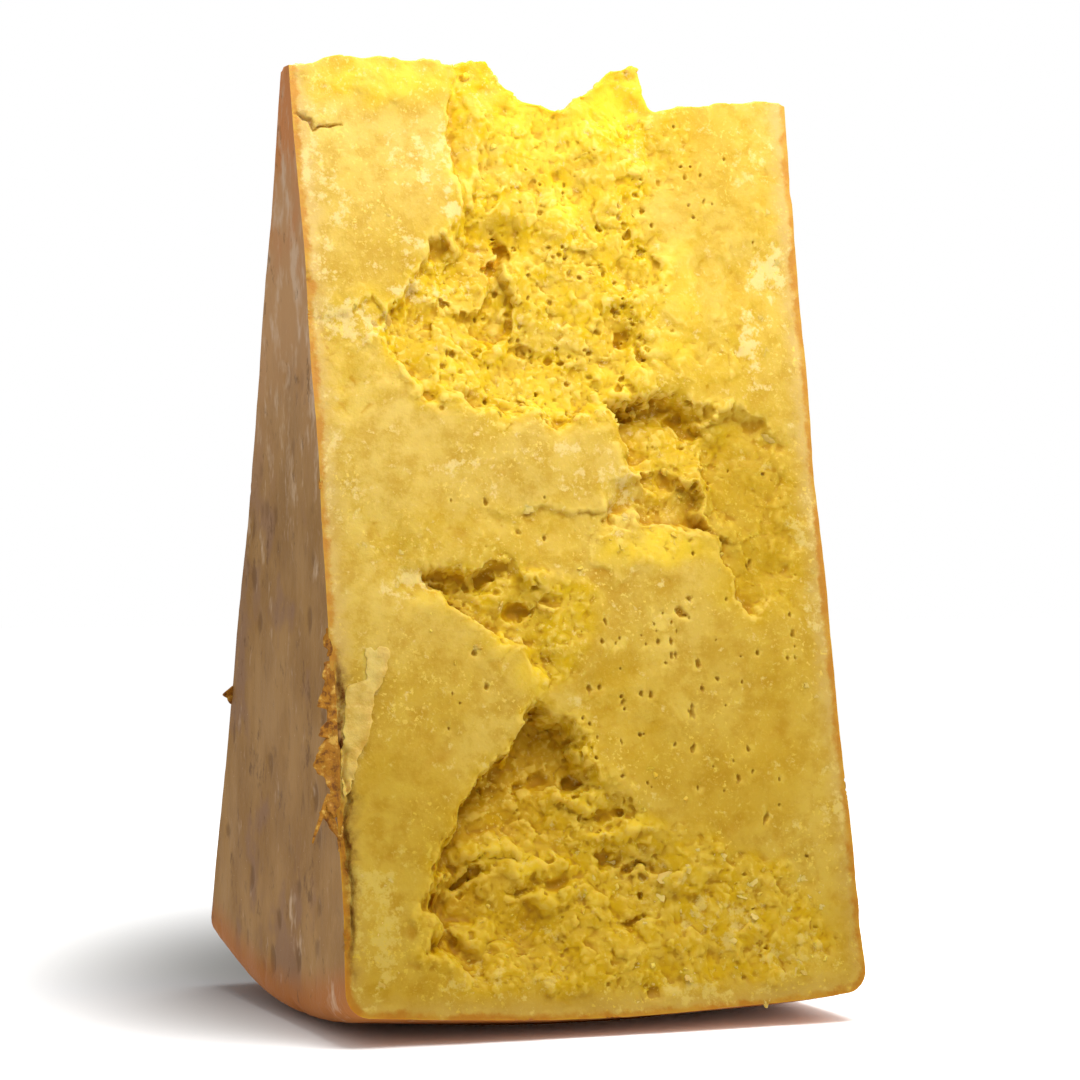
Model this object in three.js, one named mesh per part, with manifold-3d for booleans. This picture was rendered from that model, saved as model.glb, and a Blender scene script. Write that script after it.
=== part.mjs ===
// A chunk of aged hard cheese: one wedge of a flat mountain wheel, standing on its heel with the tip up.
// The wheel's axis runs left to right, so the two flat rinds face -X and +X, the convex rim is underneath,
// and the broken front face looks towards -Y. Millimetres, +Z up.
// The origin is in the middle of the small flat patch that the heel stands on, under the wheel's axis.
import * as THREE from "three";
import { mergeVertices } from "three/addons/utils/BufferGeometryUtils.js";
import Module from "manifold-3d";

// The wheel that the chunk comes from.
const WHEEL_RADIUS = 207.6;
const WHEEL_HEIGHT = 110; // from rind to rind
const RIM_BULGE = 2.4; // how far the rim stands out between its two edges
const RIM_ROUNDING = 5; // radius of the edge between the rim and each flat rind
const RIND_DISH = 1; // how far each flat rind sinks in between the rim and the middle
const REST_PATCH_SAG = 1; // how much of the round heel is pressed flat where it stands

// The cut: the front and the rear face both run up to the wheel's axis, at these angles from upright.
const FRONT_LEAN = THREE.MathUtils.degToRad(12.25);
const REAR_LEAN = THREE.MathUtils.degToRad(17.06);
const MOST_OF_THICKNESS = 0.36; // a hollow is never deeper than this share of the thickness behind it

// Grid steps of the broken faces.
const FRONT_STEP = 2.8;
const REAR_STEP = 4.8;
const TIP_STEP = 1.8;
const WHEEL_SEGMENTS = 216;
const DISH_RINGS = 7;
const BULGE_STEPS = 10;
const ROUNDING_STEPS = 5;

// What is cut away reaches past the wheel by these amounts.
const OVER_WIDTH = 12; // past the two rinds together
const OVER_TOP = 6; // past the wheel's axis
const OVER_RIM = 8; // past the rim
const CUT_THICKNESS = 40;
const TIP_CUT_DEPTH = 26; // front to back, more than the tip is thick

const HALF_WIDTH = WHEEL_HEIGHT / 2;
const AXIS_HEIGHT = WHEEL_RADIUS - REST_PATCH_SAG;
const GOLDEN_ANGLE = Math.PI * (3 - Math.sqrt(5));

// Hollows that broke out of a face. An outline is in x (across) and z (height), depth is the deepest
// point, which lies at "deep", and it thins out to "rest" of that depth at "thin". The walls are the
// widths over which the edge drops, at "deep" and at "thin".
const FRONT_HOLLOWS = [
  {
    what: "crumbled scoop under the tip",
    depth: 3.2, rest: 0.35, deep: [-14, 150], thin: [16, 170], walls: [3.4, 12], rough: 1,
    outline: [[-19, 204], [-19.5, 172], [-22, 160], [-36, 146], [-41, 137], [-28, 125], [-2, 120.5],
      [16, 125], [24, 150], [21, 172], [28, 204]],
  },
  {
    what: "crevice in the scoop",
    depth: 6.5, rest: 0.6, deep: [-12, 150], thin: [-33, 142], walls: [2.6, 4], rough: 0.9,
    outline: [[-13.5, 163], [-9, 161], [-7.5, 147], [-10, 138], [-20, 134], [-32, 138.5], [-35.5, 146],
      [-26, 149], [-17, 147], [-15.5, 153]],
  },
  {
    what: "dark gap under the right-hand shelf",
    depth: 6.8, rest: 0.15, deep: [18, 125], thin: [27, 110], walls: [2, 7], rough: 0.9,
    outline: [[9, 126.5], [20, 128], [31, 127.5], [36, 119], [31, 109], [20, 106], [12, 113]],
  },
  {
    what: "second dark hole below it",
    depth: 5, rest: 0.4, deep: [19, 112], thin: [23, 104], walls: [2.6, 4.5], rough: 0.9,
    outline: [[15, 114], [23, 115], [26, 106], [20, 103], [15.5, 106]],
  },
  {
    what: "sunken panel beside the right rind",
    depth: 2.8, rest: 0.5, deep: [30, 118], thin: [46, 90], walls: [3.5, 8], rough: 0.5,
    outline: [[24, 126], [46, 124], [49, 104], [46, 84], [36, 82], [34, 93], [28, 103]],
  },
  {
    what: "groove over the bright ledge",
    depth: 4.2, rest: 0.05, deep: [14, 102], thin: [10, 113], walls: [2.2, 7], rough: 0.4,
    outline: [[-2, 101], [4, 98], [14, 101.5], [30, 98.5], [30, 108], [12, 115], [-2, 108]],
  },
  {
    what: "ragged gap along the top of the lower slab",
    depth: 3.6, rest: 0.08, deep: [-20, 85], thin: [-4, 86], walls: [2, 6], rough: 1,
    outline: [[-36, 91], [-24, 93.5], [-10, 93], [2, 86], [0, 76], [-9.5, 67.5], [-13.5, 74], [-22, 81],
      [-32, 88]],
  },
  {
    what: "deep hollow right of the lower slab",
    depth: 9.5, rest: 0.1, deep: [-16, 54], thin: [12, 22], walls: [2.6, 15], rough: 1,
    outline: [[-10.5, 66], [-14, 61], [-23, 52], [-32, 41], [-37, 28], [-40, 18], [-32, 11], [4, 9],
      [36, 10], [50, 18], [38, 32], [18, 39], [6, 46], [1, 54], [-4, 63]],
  },
  {
    what: "small arched hole",
    depth: 3.2, rest: 0.4, deep: [-24, 158], thin: [-22, 150], walls: [2, 3], rough: 0.4,
    outline: [[-29, 152], [-27.5, 158], [-24, 160], [-20, 157], [-19.5, 150]],
  },
];
const REAR_HOLLOWS = [
  {
    what: "long step across the back",
    depth: 6.5, rest: 0.1, deep: [0, 92], thin: [-4, 36], walls: [4, 9], rough: 0.7,
    outline: [[-42, 118], [-26, 110], [-8, 98], [10, 94], [26, 80], [62, 72], [62, 34], [30, 22], [-4, 26],
      [-30, 44], [-42, 70], [-47, 100]],
  },
  {
    what: "shallow flake above the step",
    depth: 3.4, rest: 0.1, deep: [20, 152], thin: [16, 126], walls: [3.5, 7], rough: 0.6,
    outline: [[-22, 163], [10, 158], [38, 149], [62, 152], [62, 130], [34, 122], [4, 132], [-20, 148]],
  },
  {
    what: "crumbled back of the tip",
    depth: 4, rest: 0.5, deep: [-6, 176], thin: [30, 192], walls: [4, 6], rough: 1,
    outline: [[-30, 204], [-26, 182], [-8, 171], [18, 176], [30, 204]],
  },
];

// The broken tip: how high it stands across the chunk, from the left rind to the right one.
const TIP_OUTLINE = [
  [-60, 193], [-50.5, 194.2], [-47, 195.8], [-33, 196.8], [-19.5, 195.4], [-12.3, 197.4], [-10.4, 196.8],
  [-9.2, 192.1], [-6, 189], [1.1, 188.3], [4.5, 185.6], [8.4, 191], [12.1, 192], [15.6, 197], [22.4, 197.2],
  [22.2, 188], [26, 188.2], [36, 189.6], [60, 191.6],
];
const TIP_SLANT = 0.3; // the lumps of the tip run back at a slant, this far sideways for each millimetre

// Waves of falling length, each turned by the golden angle from the last, give an uneven broken line.
const WAVE_COUNT = 5;
const WAVE_RATIO = 1.7;
function unevenness(wave, x, z) {
  let sum = 0;
  for (let i = 0; i < WAVE_COUNT; i += 1) {
    const turn = (i + wave.start) * GOLDEN_ANGLE;
    const shrink = WAVE_RATIO ** i;
    const along = x * Math.cos(turn) + z * Math.sin(turn);
    sum += (wave.height / shrink) * Math.sin((2 * Math.PI * shrink * along) / wave.length + turn * turn);
  }
  return sum;
}

// How far a point lies inside a closed outline; negative outside it.
function insideDistance(outline, x, z) {
  let nearest = Infinity;
  let inside = false;
  outline.forEach(([x1, z1], i) => {
    const [x0, z0] = outline.at(i - 1);
    const [dx, dz] = [x1 - x0, z1 - z0];
    const share = THREE.MathUtils.clamp(((x - x0) * dx + (z - z0) * dz) / (dx * dx + dz * dz), 0, 1);
    nearest = Math.min(nearest, Math.hypot(x - x0 - share * dx, z - z0 - share * dz));
    if (z0 > z !== z1 > z && x < x0 + ((z - z0) / dz) * dx) inside = !inside;
  });
  return inside ? nearest : -nearest;
}

// Longest wave, total height of the first wave, and the turn that each pattern starts from.
const EDGE_WAVE_ACROSS = { length: 15, height: 0.9, start: 1 };
const EDGE_WAVE_UP = { length: 15, height: 0.9, start: 4 };
const FACE_WAVE = { length: 42, height: 0.3, start: 2 };
const TIP_WAVE_ACROSS = { length: 8, height: 0.35, start: 3 };
const TIP_WAVE_UP = { length: 8, height: 0.35, start: 5 };

// Crumbly lumps: a random height for each cell of a slanted grid, blended smoothly from cell to cell.
const LUMP_TURN = 0.6; // how far the grid is turned, in radians
const LUMP_LAYERS = [
  { size: 10, height: 1.3, seed: 14 },
  { size: 5.5, height: 0.8, seed: 15 },
];
function cellHeight(i, j, seed) {
  const raw = Math.sin(i * 127.1 + j * 311.7 + seed * 74.7) * 43758.5453;
  return 2 * (raw - Math.floor(raw)) - 1;
}

function lumpiness(x, z) {
  let sum = 0;
  for (const { size, height, seed } of LUMP_LAYERS) {
    const u = (x * Math.cos(LUMP_TURN) + z * Math.sin(LUMP_TURN)) / size;
    const v = (z * Math.cos(LUMP_TURN) - x * Math.sin(LUMP_TURN)) / size;
    const [i, j] = [Math.floor(u), Math.floor(v)];
    const [s, t] = [THREE.MathUtils.smoothstep(u - i, 0, 1), THREE.MathUtils.smoothstep(v - j, 0, 1)];
    const below = THREE.MathUtils.lerp(cellHeight(i, j, seed), cellHeight(i + 1, j, seed), s);
    const above = THREE.MathUtils.lerp(cellHeight(i, j + 1, seed), cellHeight(i + 1, j + 1, seed), s);
    sum += height * THREE.MathUtils.lerp(below, above, t);
  }
  return sum;
}

function hollowDepth(hollow, x, z) {
  const inside = insideDistance(
    hollow.outline,
    x + unevenness(EDGE_WAVE_ACROSS, x, z),
    z + unevenness(EDGE_WAVE_UP, x, z),
  );
  if (inside <= 0) return 0;
  const [dx, dz] = [hollow.thin[0] - hollow.deep[0], hollow.thin[1] - hollow.deep[1]];
  const along = ((x - hollow.deep[0]) * dx + (z - hollow.deep[1]) * dz) / (dx * dx + dz * dz);
  const thinned = THREE.MathUtils.clamp(along, 0, 1);
  const fade = THREE.MathUtils.lerp(1, hollow.rest, thinned);
  const wall = THREE.MathUtils.lerp(...hollow.walls, thinned);
  const crumbs = hollow.rough * lumpiness(x, z);
  return THREE.MathUtils.smoothstep(inside, 0, wall) * (hollow.depth * fade + crumbs);
}

function thicknessAt(z) {
  return Math.max(0, AXIS_HEIGHT - z) * (Math.tan(FRONT_LEAN) + Math.tan(REAR_LEAN));
}

// Depth of a broken face below its cut plane at a place on the face.
function faceDepth(hollows, x, z) {
  const deepest = Math.max(0, ...hollows.map((hollow) => hollowDepth(hollow, x, z)));
  const wavy = FACE_WAVE.height + unevenness(FACE_WAVE, x, z);
  return Math.min(Math.max(0, deepest + wavy), MOST_OF_THICKNESS * thicknessAt(z));
}

function tipHeight(x, y) {
  const across = x - TIP_SLANT * y + unevenness(TIP_WAVE_ACROSS, x, y);
  const next = Math.max(1, TIP_OUTLINE.findIndex(([px]) => px >= across));
  const [[x0, z0], [x1, z1]] = [TIP_OUTLINE[next - 1], TIP_OUTLINE[next]];
  return THREE.MathUtils.mapLinear(across, x0, x1, z0, z1) + unevenness(TIP_WAVE_UP, x, y);
}

const wasm = await Module();
wasm.setup();

// A closed geometry as a solid that can be joined and cut.
const MERGE_WITHIN = 1e-4;
function solidFrom(geometry) {
  geometry.deleteAttribute("normal");
  geometry.deleteAttribute("uv");
  const merged = mergeVertices(geometry, MERGE_WITHIN);
  return new wasm.Manifold(
    new wasm.Mesh({
      numProp: 3,
      vertProperties: new Float32Array(merged.attributes.position.array),
      triVerts: new Uint32Array(merged.index.array),
    }),
  );
}

// The whole wheel, turned about X, with its axis at AXIS_HEIGHT. Its profile is one rind from the middle
// out and round the edge, then the bulging rim, then the other rind back to the middle.
function wheelSolid() {
  const flatRadius = WHEEL_RADIUS - RIM_BULGE - RIM_ROUNDING;
  const rind = [];
  for (let i = 0; i < DISH_RINGS; i += 1) {
    const share = i / DISH_RINGS;
    const dish = RIND_DISH * Math.sin(Math.PI * share);
    rind.push(new THREE.Vector2(flatRadius * share, -HALF_WIDTH + dish));
  }
  for (let i = 0; i <= ROUNDING_STEPS; i += 1) {
    const turn = (Math.PI / 2) * (i / ROUNDING_STEPS);
    const radius = flatRadius + RIM_ROUNDING * Math.sin(turn);
    rind.push(new THREE.Vector2(radius, -HALF_WIDTH + RIM_ROUNDING * (1 - Math.cos(turn))));
  }
  const rim = [];
  for (let i = 1; i < BULGE_STEPS; i += 1) {
    const across = -1 + (2 * i) / BULGE_STEPS;
    const radius = WHEEL_RADIUS - RIM_BULGE * across * across;
    rim.push(new THREE.Vector2(radius, (HALF_WIDTH - RIM_ROUNDING) * across));
  }
  const otherRind = rind.map((point) => new THREE.Vector2(point.x, -point.y)).reverse();
  const wheel = new THREE.LatheGeometry([...rind, ...rim, ...otherRind], WHEEL_SEGMENTS);
  wheel.rotateZ(-Math.PI / 2).translate(0, 0, AXIS_HEIGHT);
  return solidFrom(wheel);
}

// The wedge between the two cut planes, a little wider than the wheel.
function wedgeSolid() {
  const reach = WHEEL_RADIUS + OVER_RIM;
  const width = WHEEL_HEIGHT + OVER_WIDTH;
  const outline = new THREE.Shape([
    new THREE.Vector2(0, AXIS_HEIGHT),
    new THREE.Vector2(-reach * Math.tan(FRONT_LEAN), AXIS_HEIGHT - reach),
    new THREE.Vector2(reach * Math.tan(REAR_LEAN), AXIS_HEIGHT - reach),
  ]);
  const wedge = new THREE.ExtrudeGeometry(outline, { depth: width, bevelEnabled: false });
  const turn = new THREE.Matrix4().makeBasis(
    new THREE.Vector3(0, 1, 0),
    new THREE.Vector3(0, 0, 1),
    new THREE.Vector3(1, 0, 0),
  );
  wedge.applyMatrix4(turn).translate(-width / 2, 0, 0);
  return solidFrom(wedge);
}

// What broke away from a cut face: a slab outside the face whose inner side follows the face's depth.
// side is -1 for the front and 1 for the rear.
function brokenAwaySolid(side, lean, step, depthAt) {
  const width = WHEEL_HEIGHT + OVER_WIDTH;
  const height = OVER_TOP + WHEEL_RADIUS + OVER_RIM;
  const slab = new THREE.BoxGeometry(
    width, CUT_THICKNESS, height,
    Math.round(width / step), 1, Math.round(height / step),
  );
  slab.translate(0, (side * CUT_THICKNESS) / 2, OVER_TOP - height / 2);
  const place = slab.attributes.position;
  for (let i = 0; i < place.count; i += 1) {
    if (Math.abs(place.getY(i)) > CUT_THICKNESS / 2) continue;
    const z = AXIS_HEIGHT + place.getZ(i) * Math.cos(lean);
    place.setY(i, -side * depthAt(place.getX(i), z));
  }
  slab.rotateX(side * lean).translate(0, 0, AXIS_HEIGHT);
  return solidFrom(slab);
}

// What broke off the tip: everything above the uneven top.
function brokenTipSolid() {
  const width = WHEEL_HEIGHT + TIP_STEP;
  const block = new THREE.BoxGeometry(
    width, TIP_CUT_DEPTH, CUT_THICKNESS,
    Math.round(width / TIP_STEP), Math.round(TIP_CUT_DEPTH / TIP_STEP), 1,
  );
  const place = block.attributes.position;
  for (let i = 0; i < place.count; i += 1) {
    const over = place.getZ(i) > 0;
    place.setZ(i, over ? AXIS_HEIGHT + OVER_TOP : tipHeight(place.getX(i), place.getY(i)));
  }
  return solidFrom(block);
}

// Everything below the surface that the chunk stands on.
function floorSolid() {
  const floor = new THREE.BoxGeometry(WHEEL_HEIGHT * 2, WHEEL_HEIGHT * 2, CUT_THICKNESS);
  return solidFrom(floor.translate(0, 0, -CUT_THICKNESS / 2));
}

function chunkGeometry() {
  const chunk = wheelSolid()
    .intersect(wedgeSolid())
    .subtract(brokenAwaySolid(-1, FRONT_LEAN, FRONT_STEP, (x, z) => faceDepth(FRONT_HOLLOWS, x, z)))
    .subtract(brokenAwaySolid(1, REAR_LEAN, REAR_STEP, (x, z) => faceDepth(REAR_HOLLOWS, x, z)))
    .subtract(brokenTipSolid())
    .subtract(floorSolid());
  const whole = chunk.decompose().sort((a, b) => b.volume() - a.volume())[0];
  const { vertProperties, triVerts } = whole.getMesh();
  const geometry = new THREE.BufferGeometry()
    .setAttribute("position", new THREE.BufferAttribute(vertProperties, 3))
    .setIndex(new THREE.BufferAttribute(triVerts, 1));
  geometry.computeVertexNormals();
  return geometry;
}

const cheese = new THREE.MeshStandardMaterial({ color: 0xd9b24a, roughness: 0.6, metalness: 0 });
const chunk = new THREE.Mesh(chunkGeometry(), cheese);
chunk.name = "cheese_chunk";

const part = new THREE.Group();
part.add(chunk);

export default part;
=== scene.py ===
import itertools
import math
import random

import bpy
import numpy as np
from mathutils import Matrix, Vector


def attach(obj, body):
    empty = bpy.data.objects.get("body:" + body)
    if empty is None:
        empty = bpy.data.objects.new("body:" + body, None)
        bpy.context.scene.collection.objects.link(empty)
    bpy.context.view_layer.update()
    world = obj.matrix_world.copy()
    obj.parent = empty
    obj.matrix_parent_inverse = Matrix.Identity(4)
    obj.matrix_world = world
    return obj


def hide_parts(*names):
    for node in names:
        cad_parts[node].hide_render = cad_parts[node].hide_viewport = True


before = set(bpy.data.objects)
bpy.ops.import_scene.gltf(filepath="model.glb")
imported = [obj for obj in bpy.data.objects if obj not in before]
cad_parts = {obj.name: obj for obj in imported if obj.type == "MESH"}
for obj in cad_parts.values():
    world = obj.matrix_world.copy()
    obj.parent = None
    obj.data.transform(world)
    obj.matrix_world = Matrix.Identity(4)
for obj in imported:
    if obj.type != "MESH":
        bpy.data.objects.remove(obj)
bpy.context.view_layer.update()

mm = 0.001  # shapes are worked out in millimetres and stored in metres
goldenAngle = math.pi * (3 - math.sqrt(5))

# the wheel and the two cuts, as in the solid
wheel = {
    "radius": 207.6,
    "halfWidth": 55.0,
    "bulge": 2.4,
    "rounding": 5.0,
    "dish": 1.0,
    "axisHeight": 206.6,
    "frontLean": math.radians(12.25),
    "rearLean": math.radians(17.06),
    "mostOfThickness": 0.36,
}
leans = {-1: wheel["frontLean"], 1: wheel["rearLean"]}  # the front is side -1
flatRadius = wheel["radius"] - wheel["bulge"] - wheel["rounding"]

waves = {
    "edgeAcross": {"length": 15, "height": 0.9, "start": 1},
    "edgeUp": {"length": 15, "height": 0.9, "start": 4},
    "face": {"length": 42, "height": 0.3, "start": 2},
}

# small bays in every outline and round every pinhole: size, seed and height
ragged = {
    "across": [(3.2, 11, 1.1)],
    "up": [(3.2, 12, 1.1)],
    "tinyAcross": [(1.3, 17, 0.3)],
    "tinyUp": [(1.3, 18, 0.3)],
    "pinhole": [(0.7, 19, 0.5)],
}

lumpLayers = {"turn": 0.6, "layers": [(10, 1.3, 14), (5.5, 0.8, 15)]}  # size, height and seed of each

# outlines are x across and z up; the depth thins to "rest" of itself from "deep" to "thin",
# and the edge drops over the first wall width at "deep" and over the second at "thin"
frontHollows = [
    # crumbled scoop under the tip
    {"depth": 3.2, "rest": 0.35, "deep": (-14, 150), "thin": (16, 170), "wall": (3.4, 12), "rough": 1,
     "outline": [(-19, 204), (-19.5, 172), (-22, 160), (-36, 146), (-41, 137), (-28, 125), (-2, 120.5),
                 (16, 125), (24, 150), (21, 172), (28, 204)]},
    # crevice in the scoop
    {"depth": 5.6, "rest": 0.6, "deep": (-12, 150), "thin": (-33, 142), "wall": (2.6, 4), "rough": 0.9,
     "outline": [(-13.5, 163), (-9, 161), (-7.5, 147), (-10, 138), (-20, 134), (-32, 138.5), (-35.5, 146),
                 (-26, 149), (-17, 147), (-15.5, 153)]},
    # dark gap under the right-hand shelf
    {"depth": 6.8, "rest": 0.15, "deep": (18, 125), "thin": (27, 110), "wall": (2, 7), "rough": 0.9,
     "outline": [(9, 126.5), (20, 128), (31, 127.5), (36, 119), (31, 109), (20, 106), (12, 113)]},
    # second dark hole below it
    {"depth": 5, "rest": 0.4, "deep": (19, 112), "thin": (23, 104), "wall": (2.6, 4.5), "rough": 0.9,
     "outline": [(15, 114), (23, 115), (26, 106), (20, 103), (15.5, 106)]},
    # sunken panel beside the right rind
    {"depth": 2.8, "rest": 0.5, "deep": (30, 118), "thin": (46, 90), "wall": (3.5, 8), "rough": 0.5,
     "outline": [(24, 126), (46, 124), (49, 104), (46, 84), (36, 82), (34, 93), (28, 103)]},
    # groove over the bright ledge
    {"depth": 4.2, "rest": 0.05, "deep": (14, 102), "thin": (10, 113), "wall": (2.2, 7), "rough": 0.4,
     "outline": [(6, 102.5), (8, 99.5), (14, 101.5), (30, 98.5), (30, 108), (14, 115), (6, 108)]},
    # ragged gap along the top of the lower slab
    {"depth": 3.6, "rest": 0.08, "deep": (-20, 85), "thin": (-4, 86), "wall": (2, 6), "rough": 1,
     "outline": [(-36, 91), (-24, 93.5), (-10, 93), (2, 86), (0, 76), (-9.5, 67.5), (-13.5, 74),
                 (-22, 81), (-32, 88)]},
    # deep hollow right of the lower slab
    {"depth": 9.5, "rest": 0.1, "deep": (-16, 54), "thin": (12, 22), "wall": (2.6, 15), "rough": 1,
     "outline": [(-10.5, 66), (-14, 61), (-23, 52), (-32, 41), (-37, 28), (-40, 18), (-32, 11), (4, 9),
                 (36, 10), (50, 18), (38, 32), (18, 39), (6, 46), (1, 54), (-4, 63)]},
    # small arched hole
    {"depth": 3.2, "rest": 0.4, "deep": (-24, 158), "thin": (-22, 150), "wall": (2, 3), "rough": 0.4,
     "outline": [(-29, 152), (-27.5, 158), (-24, 160), (-20, 157), (-19.5, 150)]},
]
rearHollows = [
    # long step across the back
    {"depth": 6.5, "rest": 0.1, "deep": (0, 92), "thin": (-4, 36), "wall": (4, 9), "rough": 0.7,
     "outline": [(-42, 118), (-26, 110), (-8, 98), (10, 94), (26, 80), (62, 72), (62, 34), (30, 22),
                 (-4, 26), (-30, 44), (-42, 70), (-47, 100)]},
    # shallow flake above the step
    {"depth": 3.4, "rest": 0.1, "deep": (20, 152), "thin": (16, 126), "wall": (3.5, 7), "rough": 0.6,
     "outline": [(-22, 163), (10, 158), (38, 149), (62, 152), (62, 130), (34, 122), (4, 132), (-20, 148)]},
    # crumbled back of the tip
    {"depth": 4, "rest": 0.5, "deep": (-6, 176), "thin": (30, 192), "wall": (4, 6), "rough": 1,
     "outline": [(-30, 204), (-26, 182), (-8, 171), (18, 176), (30, 204)]},
]

# thin flakes that came off, too fine for the solid: sharp on one side, fading out on the other
frontChips = [
    # beside the left rind, under the scoop
    {"depth": 0.9, "rest": 0, "deep": (-40, 144), "thin": (-50, 128), "wall": (0.8, 6), "rough": 0.3,
     "outline": [(-58, 146), (-46, 144), (-40, 147), (-33, 139), (-36, 128), (-58, 118)]},
    # across the middle
    {"depth": 0.9, "rest": 0, "deep": (-4, 105), "thin": (-6, 95), "wall": (0.8, 5), "rough": 0.3,
     "outline": [(-46, 103), (-34, 102), (-17, 104), (-4, 104), (8, 105), (14, 103), (10, 96), (-6, 92),
                 (-40, 93)]},
    # along the edge of the upper left panel
    {"depth": 1.5, "rest": 0, "deep": (-20, 175), "thin": (-10, 175), "wall": (0.7, 5), "rough": 0.9,
     "outline": [(-19.5, 206), (-20.6, 178), (-22.4, 174.5), (-21, 170), (-20, 165), (-20.5, 159),
                 (-11, 160), (-9.5, 172), (-9, 206)]},
    # right of the bright ledge
    {"depth": 2.0, "rest": 0, "deep": (34, 90), "thin": (46, 92), "wall": (0.7, 5), "rough": 0.6,
     "outline": [(30, 99), (33, 91), (35, 83.5), (44, 83), (47, 92), (44, 100)]},
]

# cracks: a line of x and z, half its width, its depth and how dark it is
frontCracks = [
    {"halfWidth": 0.42, "depth": 1.0, "dark": 1.0,
     "line": [(-53.0, 79), (-52.7, 72), (-52.2, 66), (-52.9, 60), (-52.4, 55), (-52.7, 50), (-52.3, 47),
              (-52.7, 41), (-52.8, 32), (-53.0, 23), (-53.3, 14), (-53.6, 9)]},
    {"halfWidth": 0.3, "depth": 0.7, "dark": 0.25, "line": [(-33, 89), (-27, 86.5), (-22, 82.5)]},
    # the dark of this little crack is partly a real crack and partly painted shade under a small ledge
    {"halfWidth": 0.4, "depth": 1.0, "dark": 0.4,
     "line": [(-54.5, 184.4), (-52.6, 182.8), (-51.4, 182.6), (-50.4, 181), (-48, 181.8), (-46.9, 181.2),
              (-44.8, 182.3), (-43.2, 182)]},
]

# places that broke into crumbs outside the hollows: x, z, half width, half height, how crumbly
frontCrumbly = [
    (-36, 192, 26, 6, 0.45), (24, 182, 12, 16, 0.7), (8, 160, 18, 34, 0.9), (18, 97, 15, 5, 0.7),
    (24, 20, 30, 13, 0.6), (40, 165, 16, 30, 0.3), (30, 138, 14, 12, 0.5), (-30, 90, 12, 5, 0.6),
    (6, 62, 14, 12, 0.25),
]

# whitish scuffed places on the front: x, z, half width, half height, how strong
frontScuffs = [
    (47, 154, 6, 7, 1.0), (42, 139, 3, 9, 1.0), (-46, 142, 9, 5, 0.9), (-37, 89, 7, 4, 0.9),
    (-48, 25, 6, 17, 0.9), (-49, 62, 4, 12, 0.5), (51, 82, 4, 6, 0.9), (50, 102, 4, 8, 0.6),
    (51, 44, 4, 12, 0.6), (10, 30, 8, 6, 0.5), (24, 21, 12, 7, 0.7), (40, 14, 10, 5, 0.7),
    (18, 8, 8, 3, 0.9), (-20, 112, 10, 5, 0.6), (-3, 114, 9, 5, 0.6), (10, 110, 6, 6, 0.7),
    (-28, 177, 9, 8, 0.6), (-46, 166, 6, 8, 0.5), (-49, 154, 5, 6, 0.6), (-34, 158, 6, 5, 0.4),
    (-50, 112, 4, 16, 0.5), (-49, 186, 4, 6, 0.5), (45, 178, 6, 10, 0.4), (-24, 12, 16, 4, 0.5),
    (-22.5, 179, 2.5, 6, 1.0), (-22, 167, 2.2, 6, 1.0), (-51, 173, 3, 9, 0.9), (-30, 149, 8, 3, 0.8),
]

# places of deeper, riper colour, partly painted shade, over the sunken panel beside the right rind most of
# all: x, z, half width, half height, how strong
frontRipeAndShade = [
    (38, 104, 14, 20, 0.8), (-43, 34, 14, 24, 0.8), (36, 172, 16, 18, 0.5), (30, 55, 22, 20, 0.2),
]

# lumps and ledges of brighter, fresher cheese, their brightness partly a painted highlight where their
# tops catch the light: x, z, half width, half height, how bright and how far out
frontLedges = [
    (8, 95.5, 6, 4.4, 1.0, 1.5), (20.5, 95.5, 9, 4.6, 1.0, 1.4), (31, 90, 5, 6, 0.7, 0.6),
    (-31, 85, 8, 3, 0.5, 0.3), (-21, 77.5, 6, 4, 0.7, 0.5), (-14, 71, 5, 4, 1.0, 0.6),
    (27, 151, 5, 10, 0.9, 0.8), (25, 138, 6, 6, 0.8, 0.8), (13, 131, 10, 4, 0.7, 0.8),
    (-6, 127, 14, 4, 0.6, 0.6), (-24, 131, 8, 4, 0.6, 0.6), (-3, 47, 5, 2.6, 1.0, 2.8),
    (-21, 38, 8, 2.6, 1.0, 2.2), (4, 40, 8, 2.2, 0.9, 1.6), (-13, 34, 6, 2.6, 0.8, 1.8),
    (-8, 28, 9, 2.4, 0.6, 1.4), (-27, 22, 7, 3, 0.5, 1.2), (16, 30, 7, 2.2, 0.5, 1.0),
    (0, 184, 14, 8, 0.8, 0.6), (19, 190, 6, 6, 1.0, 0), (6, 166, 8, 6, 0.5, 0.6),
    (-44, 145, 8, 3, 0.5, 0.3), (-36, 191, 18, 5, 0.9, 0.3), (42.5, 139, 2.4, 8.5, 0, 0.4),
]
# dark little caves: x, z, half width, half height, depth
frontNooks = [
    (-2, 52, 3.2, 1.8, 2.4), (2, 35.5, 4, 1.3, 2.0), (8, 32, 3, 1.1, 1.6), (-27, 33, 5, 1.4, 2.0),
    (7, 22, 3.5, 1.1, 1.2), (-12, 50, 4, 2, 1.6), (-16, 30, 3, 1.2, 1.4), (-20, 90, 2.2, 1.6, 2.2),
    (-13, 83, 3, 1.8, 2.2), (-6, 86, 2.4, 1.4, 1.2), (-29, 88, 3.6, 1.3, 1.6), (13, 126, 2.5, 1.2, 1.5),
    (27, 122, 4, 2, 1.4), (20, 84, 1.2, 1.0, 1.4), (18, 134, 1.2, 4, 1.2), (14, 140, 2, 2, 1.2),
    (-8, 136, 3, 1.4, 1.2),
]

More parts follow.
